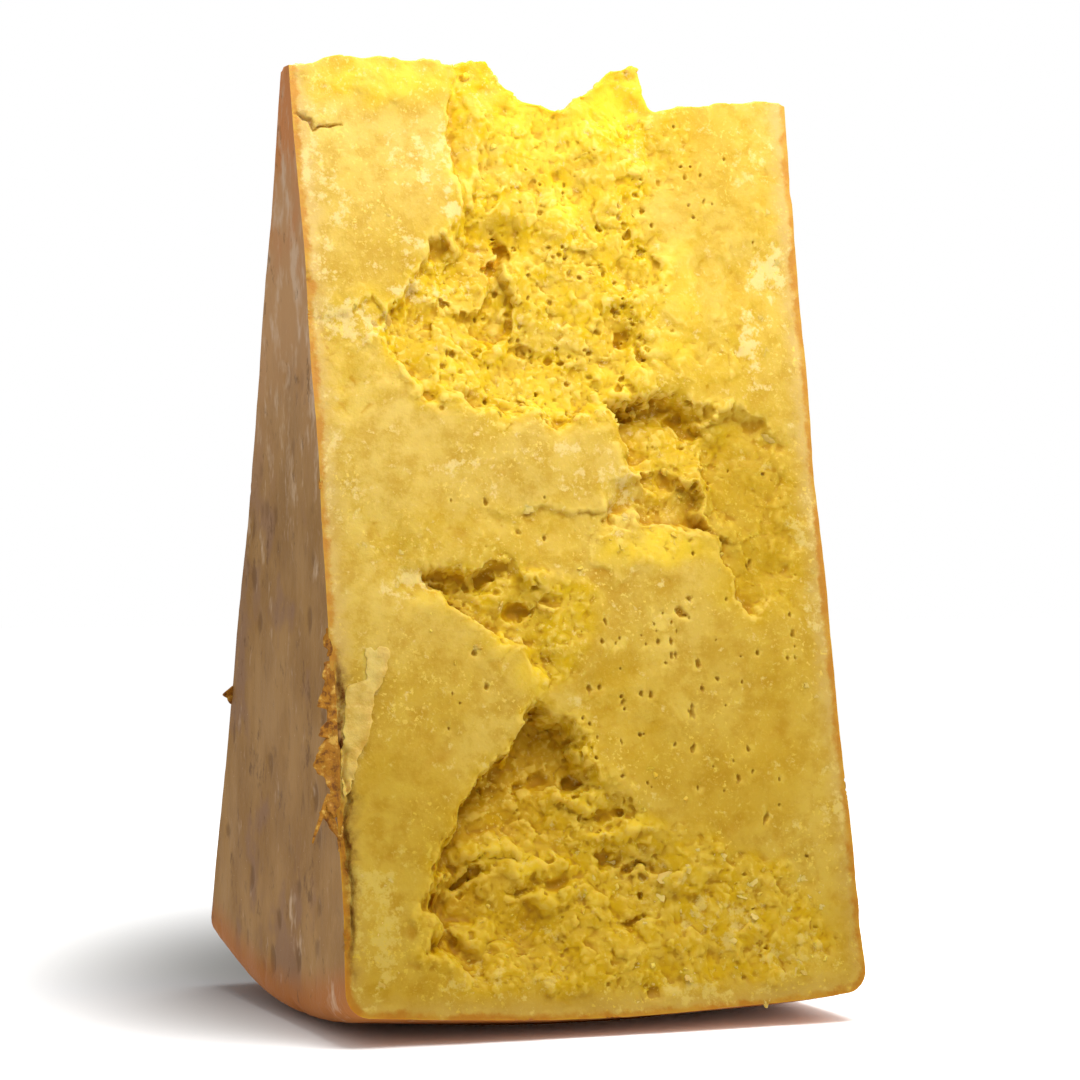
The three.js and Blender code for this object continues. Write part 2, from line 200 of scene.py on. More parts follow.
# pale smears and dark stains of the rinds: distance behind the front edge, z, half width, half height
# and how strong
rindSmears = [
    (7, 150, 3, 12, 1.0), (8.5, 163, 2.5, 8, 0.8), (11, 177, 2, 6, 0.7), (24, 141, 4, 9, 0.6),
    (30, 126, 4, 6, 0.7), (2, 128, 2.5, 12, 0.8), (22, 108, 6, 10, 0.5), (34, 20, 6, 9, 0.7),
    (10, 8, 8, 5, 0.9),
]
rindStains = [
    (14, 131, 4, 6, 1.0), (40, 96, 7, 10, 0.6), (16, 60, 6, 14, 0.5), (58, 50, 9, 14, 0.6),
    (24, 30, 10, 9, 0.6),
]

# pinholes of the plain face and wider pits of the scoop: least size and how much more, how tall for their
# width, and how many in each place (x, z, half width, half height)
pinholeKinds = [
    {"seed": 5, "sizes": (0.2, 0.34), "tall": (1.1, 2.1), "places": [
        (30, (12, 69, 13, 14)), (16, (24, 60, 14, 16)), (8, (36, 76, 10, 10)), (8, (4, 58, 8, 8)),
        (6, (38, 44, 10, 12)), (8, (34, 106, 10, 14)), (6, (38, 158, 8, 22)), (5, (-20, 104, 20, 8)),
        (5, (-24, 70, 8, 10)), (4, (20, 84, 8, 5))]},
    {"seed": 6, "sizes": (0.32, 0.5), "tall": (0.7, 1.5), "places": [
        (16, (6, 146, 12, 12)), (12, (4, 166, 14, 10)), (10, (-4, 132, 16, 7)), (8, (16, 156, 6, 14)),
        (8, (-16, 146, 8, 10)), (6, (-4, 154, 8, 8)), (6, (30, 180, 10, 8))]},
]


def drawPinholes(kind):  # x, z, half width, half height and tilt of each
    draw = random.Random(kind["seed"])
    least, more = kind["sizes"]
    holes = []
    for count, (x, z, halfWidth, halfHeight) in kind["places"]:
        for i in range(count):
            size = least + more * draw.random() ** 2.5  # most of them small
            holes.append((x + halfWidth * draw.uniform(-1, 1), z + halfHeight * draw.uniform(-1, 1), size,
                          size * draw.uniform(*kind["tall"]), draw.uniform(-0.5, 0.3)))
    return holes


pinholes = [hole for kind in pinholeKinds for hole in drawPinholes(kind)]


def smoothStep(value, low, high):
    share = np.clip((value - low) / (high - low), 0, 1)
    return share * share * (3 - 2 * share)


def atLeast(least, share):  # a share that never falls below the least
    return least + (1 - least) * share


def unevenness(wave, x, z):  # slow waves in several directions
    total = np.zeros_like(x)
    for i in range(5):
        turn = (i + wave["start"]) * goldenAngle
        shrink = 1.7 ** i
        along = x * math.cos(turn) + z * math.sin(turn)
        phase = 2 * math.pi * shrink * along / wave["length"] + turn * turn
        total += wave["height"] / shrink * np.sin(phase)
    return total


def fromStretch(start, end, x, z):  # distance from a straight stretch, and the share of the way along it
    (x0, z0), (x1, z1) = start, end
    dx, dz = x1 - x0, z1 - z0
    share = np.clip(((x - x0) * dx + (z - z0) * dz) / (dx * dx + dz * dz), 0, 1)
    return np.hypot(x - x0 - share * dx, z - z0 - share * dz), share


def insideDistance(outline, x, z):  # positive inside the outline
    nearest = np.full(x.shape, np.inf)
    inside = np.zeros(x.shape, bool)
    for start, end in zip(outline[-1:] + outline[:-1], outline):
        nearest = np.minimum(nearest, fromStretch(start, end, x, z)[0])
        (x0, z0), (x1, z1) = start, end
        if z0 != z1:
            inside ^= ((z0 > z) != (z1 > z)) & (x < x0 + (z - z0) / (z1 - z0) * (x1 - x0))
    return np.where(inside, nearest, -nearest)


def lineDistance(line, x, z):  # distance from a line of points, and the share of the way along it
    nearest = np.full(x.shape, np.inf)
    share = np.zeros(x.shape)
    for i, (start, end) in enumerate(zip(line, line[1:])):
        away, along = fromStretch(start, end, x, z)
        share = np.where(away < nearest, (i + along) / (len(line) - 1), share)
        nearest = np.minimum(nearest, away)
    return nearest, share


# factors that turn the place of a grid cell into a number that looks random, in space and on the flat
hashing = {
    "ways": np.array((12.9898, 78.233, 37.719)),
    "seed": 4.1414,
    "flat": (127.1, 311.7, 74.7),
    "spread": 43758.5453,
}


def hashed(cell, seed):  # one repeatable number from 0 to 1 for each grid cell
    raw = np.sin(cell @ hashing["ways"] + seed * hashing["seed"]) * hashing["spread"]
    return raw - np.floor(raw)


slantedGrid = np.array(Matrix.Rotation(0.9, 3, Vector((2, 1, 3))))  # no pattern lines up with the faces


def softNoise(points, size, seed):  # smooth lumps of about this size, -1 to 1
    spot = points @ slantedGrid / size + seed * 0.37
    cell = np.floor(spot)
    share = spot - cell
    share = share * share * (3 - 2 * share)
    total = np.zeros(len(points))
    for corner in itertools.product((0, 1), repeat=3):
        weight = np.prod(np.where(corner, share, 1 - share), axis=1)
        total += weight * hashed(cell + corner, seed)
    return total * 2 - 1


def layeredNoise(points, layers):  # size, seed and height of each layer
    return sum(softNoise(points, size, seed) * height for size, seed, height in layers)


def onPlane(x, z):
    return np.stack([x, np.zeros_like(x), z], axis=1)


def brokenCells(points, size, seed):  # chunks of about this size: nearness, gap to the next, facet, pick
    spot = points @ slantedGrid / size + seed * 0.37
    cell = np.floor(spot)
    near = np.full(len(points), 9.0)
    second = near.copy()
    facet = np.zeros(len(points))
    pick = np.zeros(len(points))
    for shift in itertools.product((-1, 0, 1), repeat=3):
        there = cell + shift
        offset = there + np.stack([hashed(there, seed + k) for k in range(3)], axis=1) - spot
        distance = np.linalg.norm(offset, axis=1)
        closer = distance < near
        second = np.where(closer, near, np.minimum(second, distance))
        lean = sum((hashed(there, seed + 4 + k) - 0.5) * offset[:, k] for k in range(3))
        height = hashed(there, seed + 3)
        facet = np.where(closer, lean + (height - 0.5) * 0.8, facet)
        pick = np.where(closer, height, pick)
        near = np.where(closer, distance, near)
    return near, second - near, facet, pick


def pinholeReach(x, z):  # nearness, 0 at a centre and 1 at a rim, and the size of the nearest
    reach = np.full(x.shape, 9.0)
    size = np.zeros(x.shape)
    uneven = 1 + layeredNoise(onPlane(x, z), ragged["pinhole"])
    for px, pz, halfWidth, halfHeight, tilt in pinholes:
        near = np.flatnonzero((np.abs(x - px) < 3) & (np.abs(z - pz) < 3))
        dx, dz = x[near] - px, z[near] - pz
        here = np.hypot((dx * math.cos(tilt) + dz * math.sin(tilt)) / halfWidth,
                        (dz * math.cos(tilt) - dx * math.sin(tilt)) / halfHeight) * uneven[near]
        closer = near[here < reach[near]]
        reach[closer] = here[here < reach[near]]
        size[closer] = halfWidth
    return reach, size


def lumpiness(x, z):  # the crumbly lumps of the solid
    total = np.zeros_like(x)
    byColumn, byRow, bySeed = hashing["flat"]
    for size, height, seed in lumpLayers["layers"]:
        u = (x * math.cos(lumpLayers["turn"]) + z * math.sin(lumpLayers["turn"])) / size
        v = (z * math.cos(lumpLayers["turn"]) - x * math.sin(lumpLayers["turn"])) / size
        i, j = np.floor(u), np.floor(v)
        s, t = smoothStep(u - i, 0, 1), smoothStep(v - j, 0, 1)
        corners = [[None, None], [None, None]]
        for right, above in itertools.product((0, 1), repeat=2):
            raw = np.sin((i + right) * byColumn + (j + above) * byRow + seed * bySeed) * hashing["spread"]
            corners[above][right] = 2 * (raw - np.floor(raw)) - 1
        below, over = [left + (right - left) * s for left, right in corners]
        total += height * (below + (over - below) * t)
    return total


def thicknessAt(z):  # from cut to cut
    return np.maximum(0, wheel["axisHeight"] - z) * sum(math.tan(lean) for lean in leans.values())


def hollowDepth(hollow, x, z, ragX, ragZ):
    inside = insideDistance(hollow["outline"], x + ragX, z + ragZ)
    along = fromStretch(hollow["deep"], hollow["thin"], x, z)[1]
    steep, gentle = hollow["wall"]
    mask = smoothStep(inside, 0, steep + (gentle - steep) * along)
    crumbled = smoothStep(inside, -3.5, 1.5)  # the edge crumbles too
    return mask * hollow["depth"] * (1 + (hollow["rest"] - 1) * along), crumbled


def softPatches(patches, x, z):  # the strongest patch at each place
    total = np.zeros_like(x)
    for px, pz, halfWidth, halfHeight, strength in patches:
        reach = np.hypot((x - px) / halfWidth, (z - pz) / halfHeight)
        total = np.maximum(total, strength * (1 - smoothStep(reach, 0.45, 1.25)))
    return total


def faceRelief(breaks, x, z):  # depth below the cut plane, how crumbly and how cracked
    flat = onPlane(x, z)
    tinyX, tinyZ = [layeredNoise(flat, ragged[way]) for way in ("tinyAcross", "tinyUp")]
    ragX = unevenness(waves["edgeAcross"], x, z) + layeredNoise(flat, ragged["across"]) + tinyX
    ragZ = unevenness(waves["edgeUp"], x, z) + layeredNoise(flat, ragged["up"]) + tinyZ
    depth = np.zeros_like(x)
    crumbs = softPatches(breaks.get("crumbly", []), x, z)
    for hollow in breaks["hollows"]:
        here, mask = hollowDepth(hollow, x, z, ragX, ragZ)
        depth = np.maximum(depth, here)
        crumbs = np.maximum(crumbs, mask * hollow["rough"])
    depth = depth + crumbs * lumpiness(x, z)
    standingOut = [(*ledge[:4], ledge[5]) for ledge in breaks.get("ledges", [])]
    depth = depth - softPatches(standingOut, x + ragX, z + ragZ)
    depth = depth + softPatches(breaks.get("nooks", []), x + ragX, z + ragZ)
    depth = depth + waves["face"]["height"] + unevenness(waves["face"], x, z)
    cracked = np.zeros_like(x)
    for crack in breaks.get("cracks", []):
        away, share = lineDistance(crack["line"], x + ragX * 0.3 + tinyX, z + ragZ * 0.3 + tinyZ)
        half = crack["halfWidth"]
        taper = smoothStep(share, 0, 0.15) * smoothStep(share, 1, 0.7)
        depth = depth + smoothStep(away, half * 1.6, half * 0.3) * taper * crack["depth"]
        cracked = np.maximum(cracked, smoothStep(away, half * 3.5, half) * taper * crack["dark"])
    return np.clip(depth, 0, wheel["mostOfThickness"] * thicknessAt(z)), crumbs, cracked


def faceFrame(side, points):  # distance down a cut from the axis, depth below it and height
    lean = leans[side]
    y, z = points[:, 1], points[:, 2] - wheel["axisHeight"]
    down = side * y * math.sin(lean) - z * math.cos(lean)
    depth = -side * y * math.cos(lean) - z * math.sin(lean)
    return down, depth, wheel["axisHeight"] - down * math.cos(lean)


def facePoint(side, x, down, depth):
    lean = leans[side]
    y = side * (down * math.sin(lean) - depth * math.cos(lean))
    z = wheel["axisHeight"] - down * math.cos(lean) - depth * math.sin(lean)
    return np.stack([x, y, z], axis=1)


def dishAt(fromAxis):  # how far the flat of a rind sinks in
    return wheel["dish"] * np.sin(math.pi * np.clip(fromAxis / flatRadius, 0, 1))


def rindDistance(points):  # how far below the two rinds and the rim
    fromAxis = np.hypot(points[:, 1], points[:, 2] - wheel["axisHeight"])
    across = np.abs(points[:, 0])
    side = wheel["halfWidth"] - dishAt(fromAxis) - across
    rimHalf = wheel["halfWidth"] - wheel["rounding"]
    rim = wheel["radius"] - wheel["bulge"] * np.clip(across / rimHalf, 0, 1) ** 2 - fromAxis
    inX, inR = across - rimHalf, fromAxis - flatRadius
    corner = wheel["rounding"] - np.hypot(np.maximum(inX, 0), np.maximum(inR, 0))
    return np.where((inX > 0) & (inR > 0), corner, np.minimum(side, rim)), rim


def rindSlope(points):  # how far below the rind or the rim, and the way further in
    small = 0.01
    below = rindDistance(points)[0]
    slope = [(rindDistance(points + step)[0] - below) / small for step in np.eye(3) * small]
    return below, np.stack(slope, axis=1)


def readRows(items, kind, width=3, number=np.float32):  # one row of numbers for each point, edge or face
    rows = np.empty(len(items) * width, number)
    items.foreach_get(kind, rows)
    return rows.reshape(-1, width)


def readPoints(mesh):
    return readRows(mesh.vertices, "co").astype(float) / mm


def readNormals(mesh):
    return readRows(mesh.vertices, "normal").astype(float)


def readEdges(mesh):
    return readRows(mesh.edges, "vertices", 2, np.int32).T


def faceCentres(mesh):
    return readRows(mesh.polygons, "center").astype(float) / mm


def writePoints(mesh, points):
    mesh.vertices.foreach_set("co", (points * mm).astype(np.float32).ravel())
    mesh.update()


def facingNow(mesh, points):  # the way the surface faces once the points are set
    writePoints(mesh, points)
    return readNormals(mesh)


def onlyThis(piece):
    bpy.ops.object.select_all(action="DESELECT")
    piece.select_set(True)
    bpy.context.view_layer.objects.active = piece


def applyModifier(piece, kind, **settings):
    onlyThis(piece)
    modifier = piece.modifiers.new(kind.title(), kind)
    for name, value in settings.items():
        setattr(modifier, name, value)
    bpy.ops.object.modifier_apply(modifier=modifier.name)


# the chunk itself: a fine skin over the solid
chunkSkin = {
    "voxel": 0.95,
    "merge": (0.01, 0.35),  # points closer than this are one, in the solid and in the remeshed skin
    "triangles": 196000,
    "roundHoles": (2.6, 1.4),  # faces this near a pinhole, in its own sizes, or a crack are split
    "drawnOut": 0.5,  # faces of the front larger than this, in square millimetres, are split again
    "plates": (0.34, 0.8),  # share of a rise between two plates, and height of the torn relief
    "torn": [(8.5, 41, 1), (4.1, 42, 0.55), (2.0, 43, 0.25)],  # size, seed and height
    "lumps": [(5.0, 0.5, 0.22, 0.5), (2.3, 0.36, 0.24, 0.5)],  # size, height, crease and roundness
    "grains": [(1.25, 44, 0.16), (0.8, 45, 0.1)],
    "onPlain": {"lumps": 0.03, "grains": 0.12, "pits": 0.1},  # shares of these where nothing crumbled
    "pits": (2.7, 0.95),  # spacing and largest radius of the little holes
    "pitsEnd": {"across": (53.5, 51), "up": (190, 178)},  # they fade out towards the rinds and the tip
    "rindWaves": (26, 31, 0.45),
    "rindGrain": (2.2, 33, 0.06),
    "dimples": (7.0, 0.5),  # spacing and depth of the soft dents in the rind
    "edgeReach": 0.75,  # share of a voxel within which a point belongs to an edge
    "onGround": 0.3,  # points lower than this stay on the ground
    "rindFinish": (1.5, 0.6),  # how far below the rind it goes, and how much such a face turns outwards
    "sharp": 70,  # degrees
}
brokenTip = {"from": 184, "level": 193, "slope": 0.2, "miss": 0.8, "crumbs": 0.9, "below": (192, 182)}

# folds are drawn back before the skin is thinned and eased after it: rounds, the least that a point or
# a triangle may agree with the surface round it, and how far below the rind it has to be
drawnBack = {"rounds": 12, "agree": -0.1, "below": 1.5, "spread": 2}
eased = {"rounds": 8, "agree": 0.05, "below": 0.8}

frontBreak = {"hollows": frontHollows + frontChips, "cracks": frontCracks, "crumbly": frontCrumbly,
              "ledges": frontLedges, "nooks": frontNooks}
rearBreak = {"hollows": rearHollows}
frontFace, rearFace, rindFace, tipFace = range(4)
cuts = ((frontFace, -1, frontBreak), (rearFace, 1, rearBreak))  # its side and what broke out of it
solidCuts = ((-1, {"hollows": frontHollows}), (1, rearBreak))  # as they are in the solid


def whichFace(points):
    misses = []
    for side, breaks in solidCuts:
        down, depth, z = faceFrame(side, points)
        misses.append(np.abs(depth - faceRelief(breaks, points[:, 0], z)[0]))
    misses.append(np.abs(rindDistance(points)[0]))
    tip = np.abs(points[:, 2] - brokenTip["level"]) * brokenTip["slope"] + brokenTip["miss"]
    misses.append(np.where(points[:, 2] > brokenTip["from"], tip, np.inf))
    return np.argmin(misses, axis=0)


def splitFaces(piece, mask):
    onlyThis(piece)
    bpy.ops.object.mode_set(mode="EDIT")
    bpy.ops.mesh.select_mode(type="FACE")
    bpy.ops.mesh.select_all(action="DESELECT")
    bpy.ops.object.mode_set(mode="OBJECT")
    piece.data.polygons.foreach_set("select", mask)
    bpy.ops.object.mode_set(mode="EDIT")
    bpy.ops.mesh.subdivide(number_cuts=1)
    bpy.ops.object.mode_set(mode="OBJECT")


def mergeClose(piece, distance):  # in millimetres
    onlyThis(piece)
    bpy.ops.object.mode_set(mode="EDIT")
    bpy.ops.mesh.select_all(action="SELECT")
    bpy.ops.mesh.remove_doubles(threshold=distance * mm)
    bpy.ops.object.mode_set(mode="OBJECT")


def smoothedPoints(mesh, rounds):
    first, second = readEdges(mesh)
    smooth = readPoints(mesh)
    size = len(smooth)
    count = (np.bincount(first, minlength=size) + np.bincount(second, minlength=size))[:, None]
    for i in range(rounds):
        total = [np.bincount(first, smooth[second, k], size) + np.bincount(second, smooth[first, k], size)
                 for k in range(3)]
        smooth = 0.4 * smooth + 0.6 * np.stack(total, axis=1) / count
    return smooth


def hollowness(mesh, rounds):  # how far each point lies below the smoothed-out surface round it
    return np.sum((smoothedPoints(mesh, rounds) - readPoints(mesh)) * readNormals(mesh), axis=1)


def drawBackFolds(mesh):  # relief that folded over itself goes back to the smoothed-out surface
    points, normals = readPoints(mesh), readNormals(mesh)
    smooth = smoothedPoints(mesh, drawnBack["rounds"])
    folded = np.sum(normals * facingNow(mesh, smooth), axis=1) < drawnBack["agree"]
    first, second = readEdges(mesh)
    for i in range(drawnBack["spread"]):
        spreading = folded[first] | folded[second]
        folded[first[spreading]] = True
        folded[second[spreading]] = True
    folded &= rindDistance(points)[0] > drawnBack["below"]
    points[folded] = smooth[folded]
    writePoints(mesh, points)
    print("chunk:", int(folded.sum()), "folded points drawn back")


def easeFolds(mesh):  # triangles turned against the surface round them are eased back into it
    mesh.calc_loop_triangles()
    corners = readRows(mesh.loop_triangles, "vertices", 3, np.int32)
    for i in range(eased["rounds"]):
        points, normals = readPoints(mesh), readNormals(mesh)
        start, right, left = [points[corners[:, k]] for k in range(3)]
        facing = np.cross(right - start, left - start)
        facing /= np.maximum(np.linalg.norm(facing, axis=1, keepdims=True), 1e-9)
        agree = np.min(np.sum(facing[:, None] * normals[corners], axis=2), axis=1)
        turned = np.unique(corners[agree < eased["agree"]])
        turned = turned[rindDistance(points[turned])[0] > eased["below"]]  # edges of the rind stay sharp
        points[turned] = smoothedPoints(mesh, 1)[turned]
        writePoints(mesh, points)
        print("chunk:", int((agree < 0).sum()), "turned triangles")


def cleanEdges(mesh):  # the rinds drawn true, and the edges between rind and cut brought to a line
    points = readPoints(mesh)
    reach = chunkSkin["voxel"] * chunkSkin["edgeReach"]
    onRind = (whichFace(points) == rindFace) | (np.abs(rindDistance(points)[0]) < reach)
    below, inward = rindSlope(points[onRind])
    points[onRind] -= below[:, None] * inward
    for side, breaks in solidCuts:
        down, depth, z = faceFrame(side, points)
        relief = faceRelief(breaks, points[:, 0], z)[0]
        edge = onRind & (np.abs(depth - relief) < reach)
        points[edge] = facePoint(side, points[edge, 0], down[edge], relief[edge])
    writePoints(mesh, points)


def refineBreaks(chunk):  # finer where the break shows, and again round the pinholes and the cracks
    centres = faceCentres(chunk.data)
    face = whichFace(centres)
    crumbs = faceRelief(rearBreak, centres[:, 0], faceFrame(1, centres)[2])[1]
    splitFaces(chunk, (face == frontFace) | (face == tipFace) | ((face == rearFace) & (crumbs > 0.1)))
    centres = faceCentres(chunk.data)
    x, z = centres[:, 0], faceFrame(-1, centres)[2]
    nearHole, nearCrack = chunkSkin["roundHoles"]
    cracks = np.min([lineDistance(crack["line"], x, z)[0] for crack in frontCracks], axis=0)
    near = (pinholeReach(x, z)[0] < nearHole) | (cracks < nearCrack)
    splitFaces(chunk, (whichFace(centres) == frontFace) & near)


def shapeBreaks(chunk):  # drawn to the relief, and finer on steep walls, where that drew the faces out
    mesh = chunk.data
    points = readPoints(mesh)
    face = whichFace(points)
    for number, side, breaks in cuts:
        here = face == number
        x = points[here][:, 0]
        down, depth, z = faceFrame(side, points[here])
        points[here] = facePoint(side, x, down, faceRelief(breaks, x, z)[0])
    writePoints(mesh, points)
    large = readRows(mesh.polygons, "area", 1)[:, 0] > chunkSkin["drawnOut"] * mm * mm
    splitFaces(chunk, (whichFace(faceCentres(mesh)) == frontFace) & large)
    print("chunk: breaks shaped,", len(mesh.vertices), "points")


def crumbliness(points, face):
    crumbs = np.where(face == tipFace, brokenTip["crumbs"], 0)
    for number, side, breaks in cuts:
        here = face == number
        crumbs[here] = faceRelief(breaks, points[here][:, 0], faceFrame(side, points[here])[2])[1]
    return crumbs


def tornPlates(points):  # plates with small risers between them
    step, height = chunkSkin["plates"]
    torn = layeredNoise(points, chunkSkin["torn"])
    level = np.floor(torn / step)
    riser = smoothStep(torn / step - level, 0.6, 0.97)
    return height * (0.7 * ((level + riser) * step) + 0.3 * torn)


def brokenLumps(points, size, height, crease, dome):
    warp = softNoise(points, size, 51)[:, None] * size * 0.25
    near, gap, facet, pick = brokenCells(points + warp, size, int(size * 10))
    fading = smoothStep(softNoise(points, size * 3, 52), -0.7, 0.4)
    return height * (facet + (dome * (0.35 - near ** 2) - crease * np.exp(-gap / 0.12)) * fading)


def littlePits(points, crumbly):
    spacing, largest = chunkSkin["pits"]
    warp = np.stack([softNoise(points, 1.5, 91 + k) for k in range(3)], axis=1) * 0.55
    near, gap, facet, pick = brokenCells((points + warp) * np.array((1, 1, 0.8)), spacing, 77)
    cluster = smoothStep(softNoise(points, 13, 46), -0.6, 0.3)
    ends = chunkSkin["pitsEnd"]
    clear = smoothStep(np.abs(points[:, 0]), *ends["across"]) * smoothStep(points[:, 2], *ends["up"])
    plain = chunkSkin["onPlain"]["pits"]
    radius = largest * smoothStep(pick, 0.2, 0.9) * cluster * clear * atLeast(plain, crumbly)
    return np.sqrt(np.maximum(radius ** 2 - (near * spacing) ** 2, 0)) * 1.15


def rindDimples(points):
    spacing, depth = chunkSkin["dimples"]
    near, gap, facet, pick = brokenCells(points * np.array((1, 1, 0.75)), spacing, 35)
    return smoothStep(near, 0.5, 0.1) * smoothStep(pick, 0.35, 0.9) * depth


def tearSurface(mesh):  # each kind of roughness goes along the surface as it stands by then
    points = readPoints(mesh)
    face = whichFace(points)
    paste = face != rindFace
    crumbly = crumbliness(points, face)[paste]
    plain = chunkSkin["onPlain"]
    move = np.zeros(len(points))
    move[paste] = tornPlates(points[paste]) * crumbly
    points = points + facingNow(mesh, points) * move[:, None]
    for lumps in chunkSkin["lumps"]:
        move[paste] = brokenLumps(points[paste], *lumps) * atLeast(plain["lumps"], crumbly)
        points = points + facingNow(mesh, points) * move[:, None]

    grains = layeredNoise(points[paste], chunkSkin["grains"]) * atLeast(plain["grains"], crumbly)
    reach, size = pinholeReach(points[paste][:, 0], faceFrame(-1, points[paste])[2])
    bowl = np.clip(size - 0.3, 0, 0.4)  # the wider ones are soft bowls
    pricks = np.where(face[paste] == frontFace, (0.2 + size) * smoothStep(reach, 1.3, 0.5 - bowl), 0)
    move[paste] = grains - littlePits(points[paste], crumbly) - pricks
    move[~paste] = layeredNoise(points[~paste], [chunkSkin["rindGrain"]]) - rindDimples(points[~paste])
    below, inward = rindSlope(points)
    wavy = layeredNoise(points, [chunkSkin["rindWaves"]]) * smoothStep(below, 4, 0)
    onGround = points[:, 2] < chunkSkin["onGround"]
    points = points + facingNow(mesh, points) * move[:, None] - inward * wavy[:, None]
    points[:, 2] = np.where(onGround, 0, np.maximum(points[:, 2], 0))
    writePoints(mesh, points)


def storeLooks(mesh):  # what the finishes read at each point
    points = readPoints(mesh)
    face = whichFace(points)
    front, tip = face == frontFace, face == tipFace
    x, (down, depth, z) = points[:, 0], faceFrame(-1, points)
    crumbs = crumbliness(points, face)
    underRind, underRim = rindDistance(points)
    shiftX, shiftZ = [softNoise(points, 4, seed) * 2.5 for seed in (61, 62)]
    bright = softPatches([ledge[:5] for ledge in frontLedges], x + shiftX, z + shiftZ)
    broken = smoothStep(layeredNoise(points, [(4.5, 63, 1), (2, 64, 0.6)]), -0.7, 0.5)
    bright = bright * atLeast(0.35, broken) * atLeast(0.45, crumbs)
    belowTip = smoothStep(points[:, 2], *brokenTip["below"])
    behind = points[:, 1] + (wheel["axisHeight"] - points[:, 2]) * math.tan(wheel["frontLean"])
    behind += np.where(x > 0, 9, 0)  # not the same on both rinds
    reach, size = pinholeReach(x, z)
    # painted shade for the pinholes, less in the wider soft bowls
    pinholeShade = smoothStep(reach, 1.4, 0.7) * (1 - 1.3 * np.clip(size - 0.3, 0, 0.4))
    looks = {
        "underRind": underRind,
        "underRim": underRim,
        "sunk": np.clip(np.where(front, depth, faceFrame(1, points)[1]), 0, 15),
        "crumbs": crumbs,
        "cracked": np.where(front, faceRelief(frontBreak, x, z)[2], 0),
        # the tip gets much of the same brightness, partly a painted highlight
        "bright": np.where(front, bright, np.where(tip, 0.8, 0)),
        # hollowness that the finishes turn into painted shade in nooks and pockets, and into paler edges
        # where it is below zero
        "nookShade": hollowness(mesh, 4) * belowTip,
        "pocketShade": hollowness(mesh, 40) * belowTip,
        "smears": softPatches(rindSmears, behind, points[:, 2]),
        "stains": softPatches(rindStains, behind, points[:, 2]),
        "ripeAndShade": np.where(front, softPatches(frontRipeAndShade, x, z), 0),
        "scuffs": np.where(front, softPatches(frontScuffs, x, z), 0.2),
        "pinholes": np.where(front, pinholeShade, 0),
    }
    for name, values in looks.items():
        attribute = mesh.attributes.new(name, "FLOAT", "POINT")
        attribute.data.foreach_set("value", np.asarray(values, np.float32))


def addFinishes(mesh):  # paste, and a second finish on the rinds and the rim
    mesh.materials.append(makePaste())
    mesh.materials.append(makeRind())
    deepest, outwards = chunkSkin["rindFinish"]
    below, inward = rindSlope(faceCentres(mesh))
    facing = -np.sum(readRows(mesh.polygons, "normal").astype(float) * inward, axis=1)
    onRind = (below < deepest) & (facing > outwards)
    mesh.polygons.foreach_set("material_index", onRind.astype(np.int32))
    mesh.update()


def makeChunk():
    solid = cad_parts["cheese_chunk"]
    chunk = bpy.data.objects.new("cheese_skin", solid.data.copy())
    bpy.context.scene.collection.objects.link(chunk)
    chunk.data.materials.clear()
    mergeSolid, mergeSkin = chunkSkin["merge"]
    mergeClose(chunk, mergeSolid)
    applyModifier(chunk, "REMESH", mode="VOXEL", voxel_size=chunkSkin["voxel"] * mm)
    cleanEdges(chunk.data)
    mergeClose(chunk, mergeSkin)
    refineBreaks(chunk)
    shapeBreaks(chunk)
    tearSurface(chunk.data)
    drawBackFolds(chunk.data)
    triangles = sum(len(polygon.vertices) - 2 for polygon in chunk.data.polygons)
    applyModifier(chunk, "DECIMATE", ratio=min(1, chunkSkin["triangles"] / triangles))
    easeFolds(chunk.data)
    onlyThis(chunk)
    bpy.ops.object.shade_smooth_by_angle(angle=math.radians(chunkSkin["sharp"]))
    print("chunk:", triangles, "triangles thinned,", len(chunk.data.polygons), "faces left")
    storeLooks(chunk.data)
    addFinishes(chunk.data)
    return chunk


# finishes

def addNode(tree, kind, values=None, **settings):
    node = tree.nodes.new(kind)
    for name, value in settings.items():
        setattr(node, name, value)
    for socket, value in (values or {}).items():
        if isinstance(value, bpy.types.NodeSocket):
            tree.links.new(value, node.inputs[socket])
        else:
            node.inputs[socket].default_value = value
    return node


def rgb(red, green, blue):  # a colour as seen, 0 to 255, for a colour socket
    linear = [((c / 255 + 0.055) / 1.055) ** 2.4 if c > 10 else c / 255 / 12.92
              for c in (red, green, blue)]
    return (*linear, 1)


def mixColour(tree, amount, first, second, blend="MIX"):
    node = addNode(tree, "ShaderNodeMix", {0: amount, 6: first, 7: second},
                   data_type="RGBA", blend_type=blend)
    return node.outputs[2]


def times(tree, first, second):
    node = addNode(tree, "ShaderNodeMath", {0: first, 1: second}, operation="MULTIPLY")
    return node.outputs[0]


def plus(tree, first, second, share=1.0):  # the first and this share of the second
    node = addNode(tree, "ShaderNodeMath", {0: second, 1: share, 2: first}, operation="MULTIPLY_ADD")
    return node.outputs[0]


def spread(tree, value, low, high, toLow=0.0, toHigh=1.0):
    node = addNode(tree, "ShaderNodeMapRange", {0: value, 1: low, 2: high, 3: toLow, 4: toHigh},
                   interpolation_type="SMOOTHSTEP")
    return node.outputs[0]


def tint(tree, colour, over, value, low, high, most=1.0):  # another colour comes in from low to high
    return mixColour(tree, spread(tree, value, low, high, 0, most), colour, over)


def objectPlace(tree, upwards=1):  # a pattern drawn out upwards
    coordinates = addNode(tree, "ShaderNodeTexCoord").outputs["Object"]
    if upwards == 1:
        return coordinates
    node = addNode(tree, "ShaderNodeMapping", {"Vector": coordinates, "Scale": (1, 1, upwards)},
                   vector_type="TEXTURE")
    return node.outputs["Vector"]


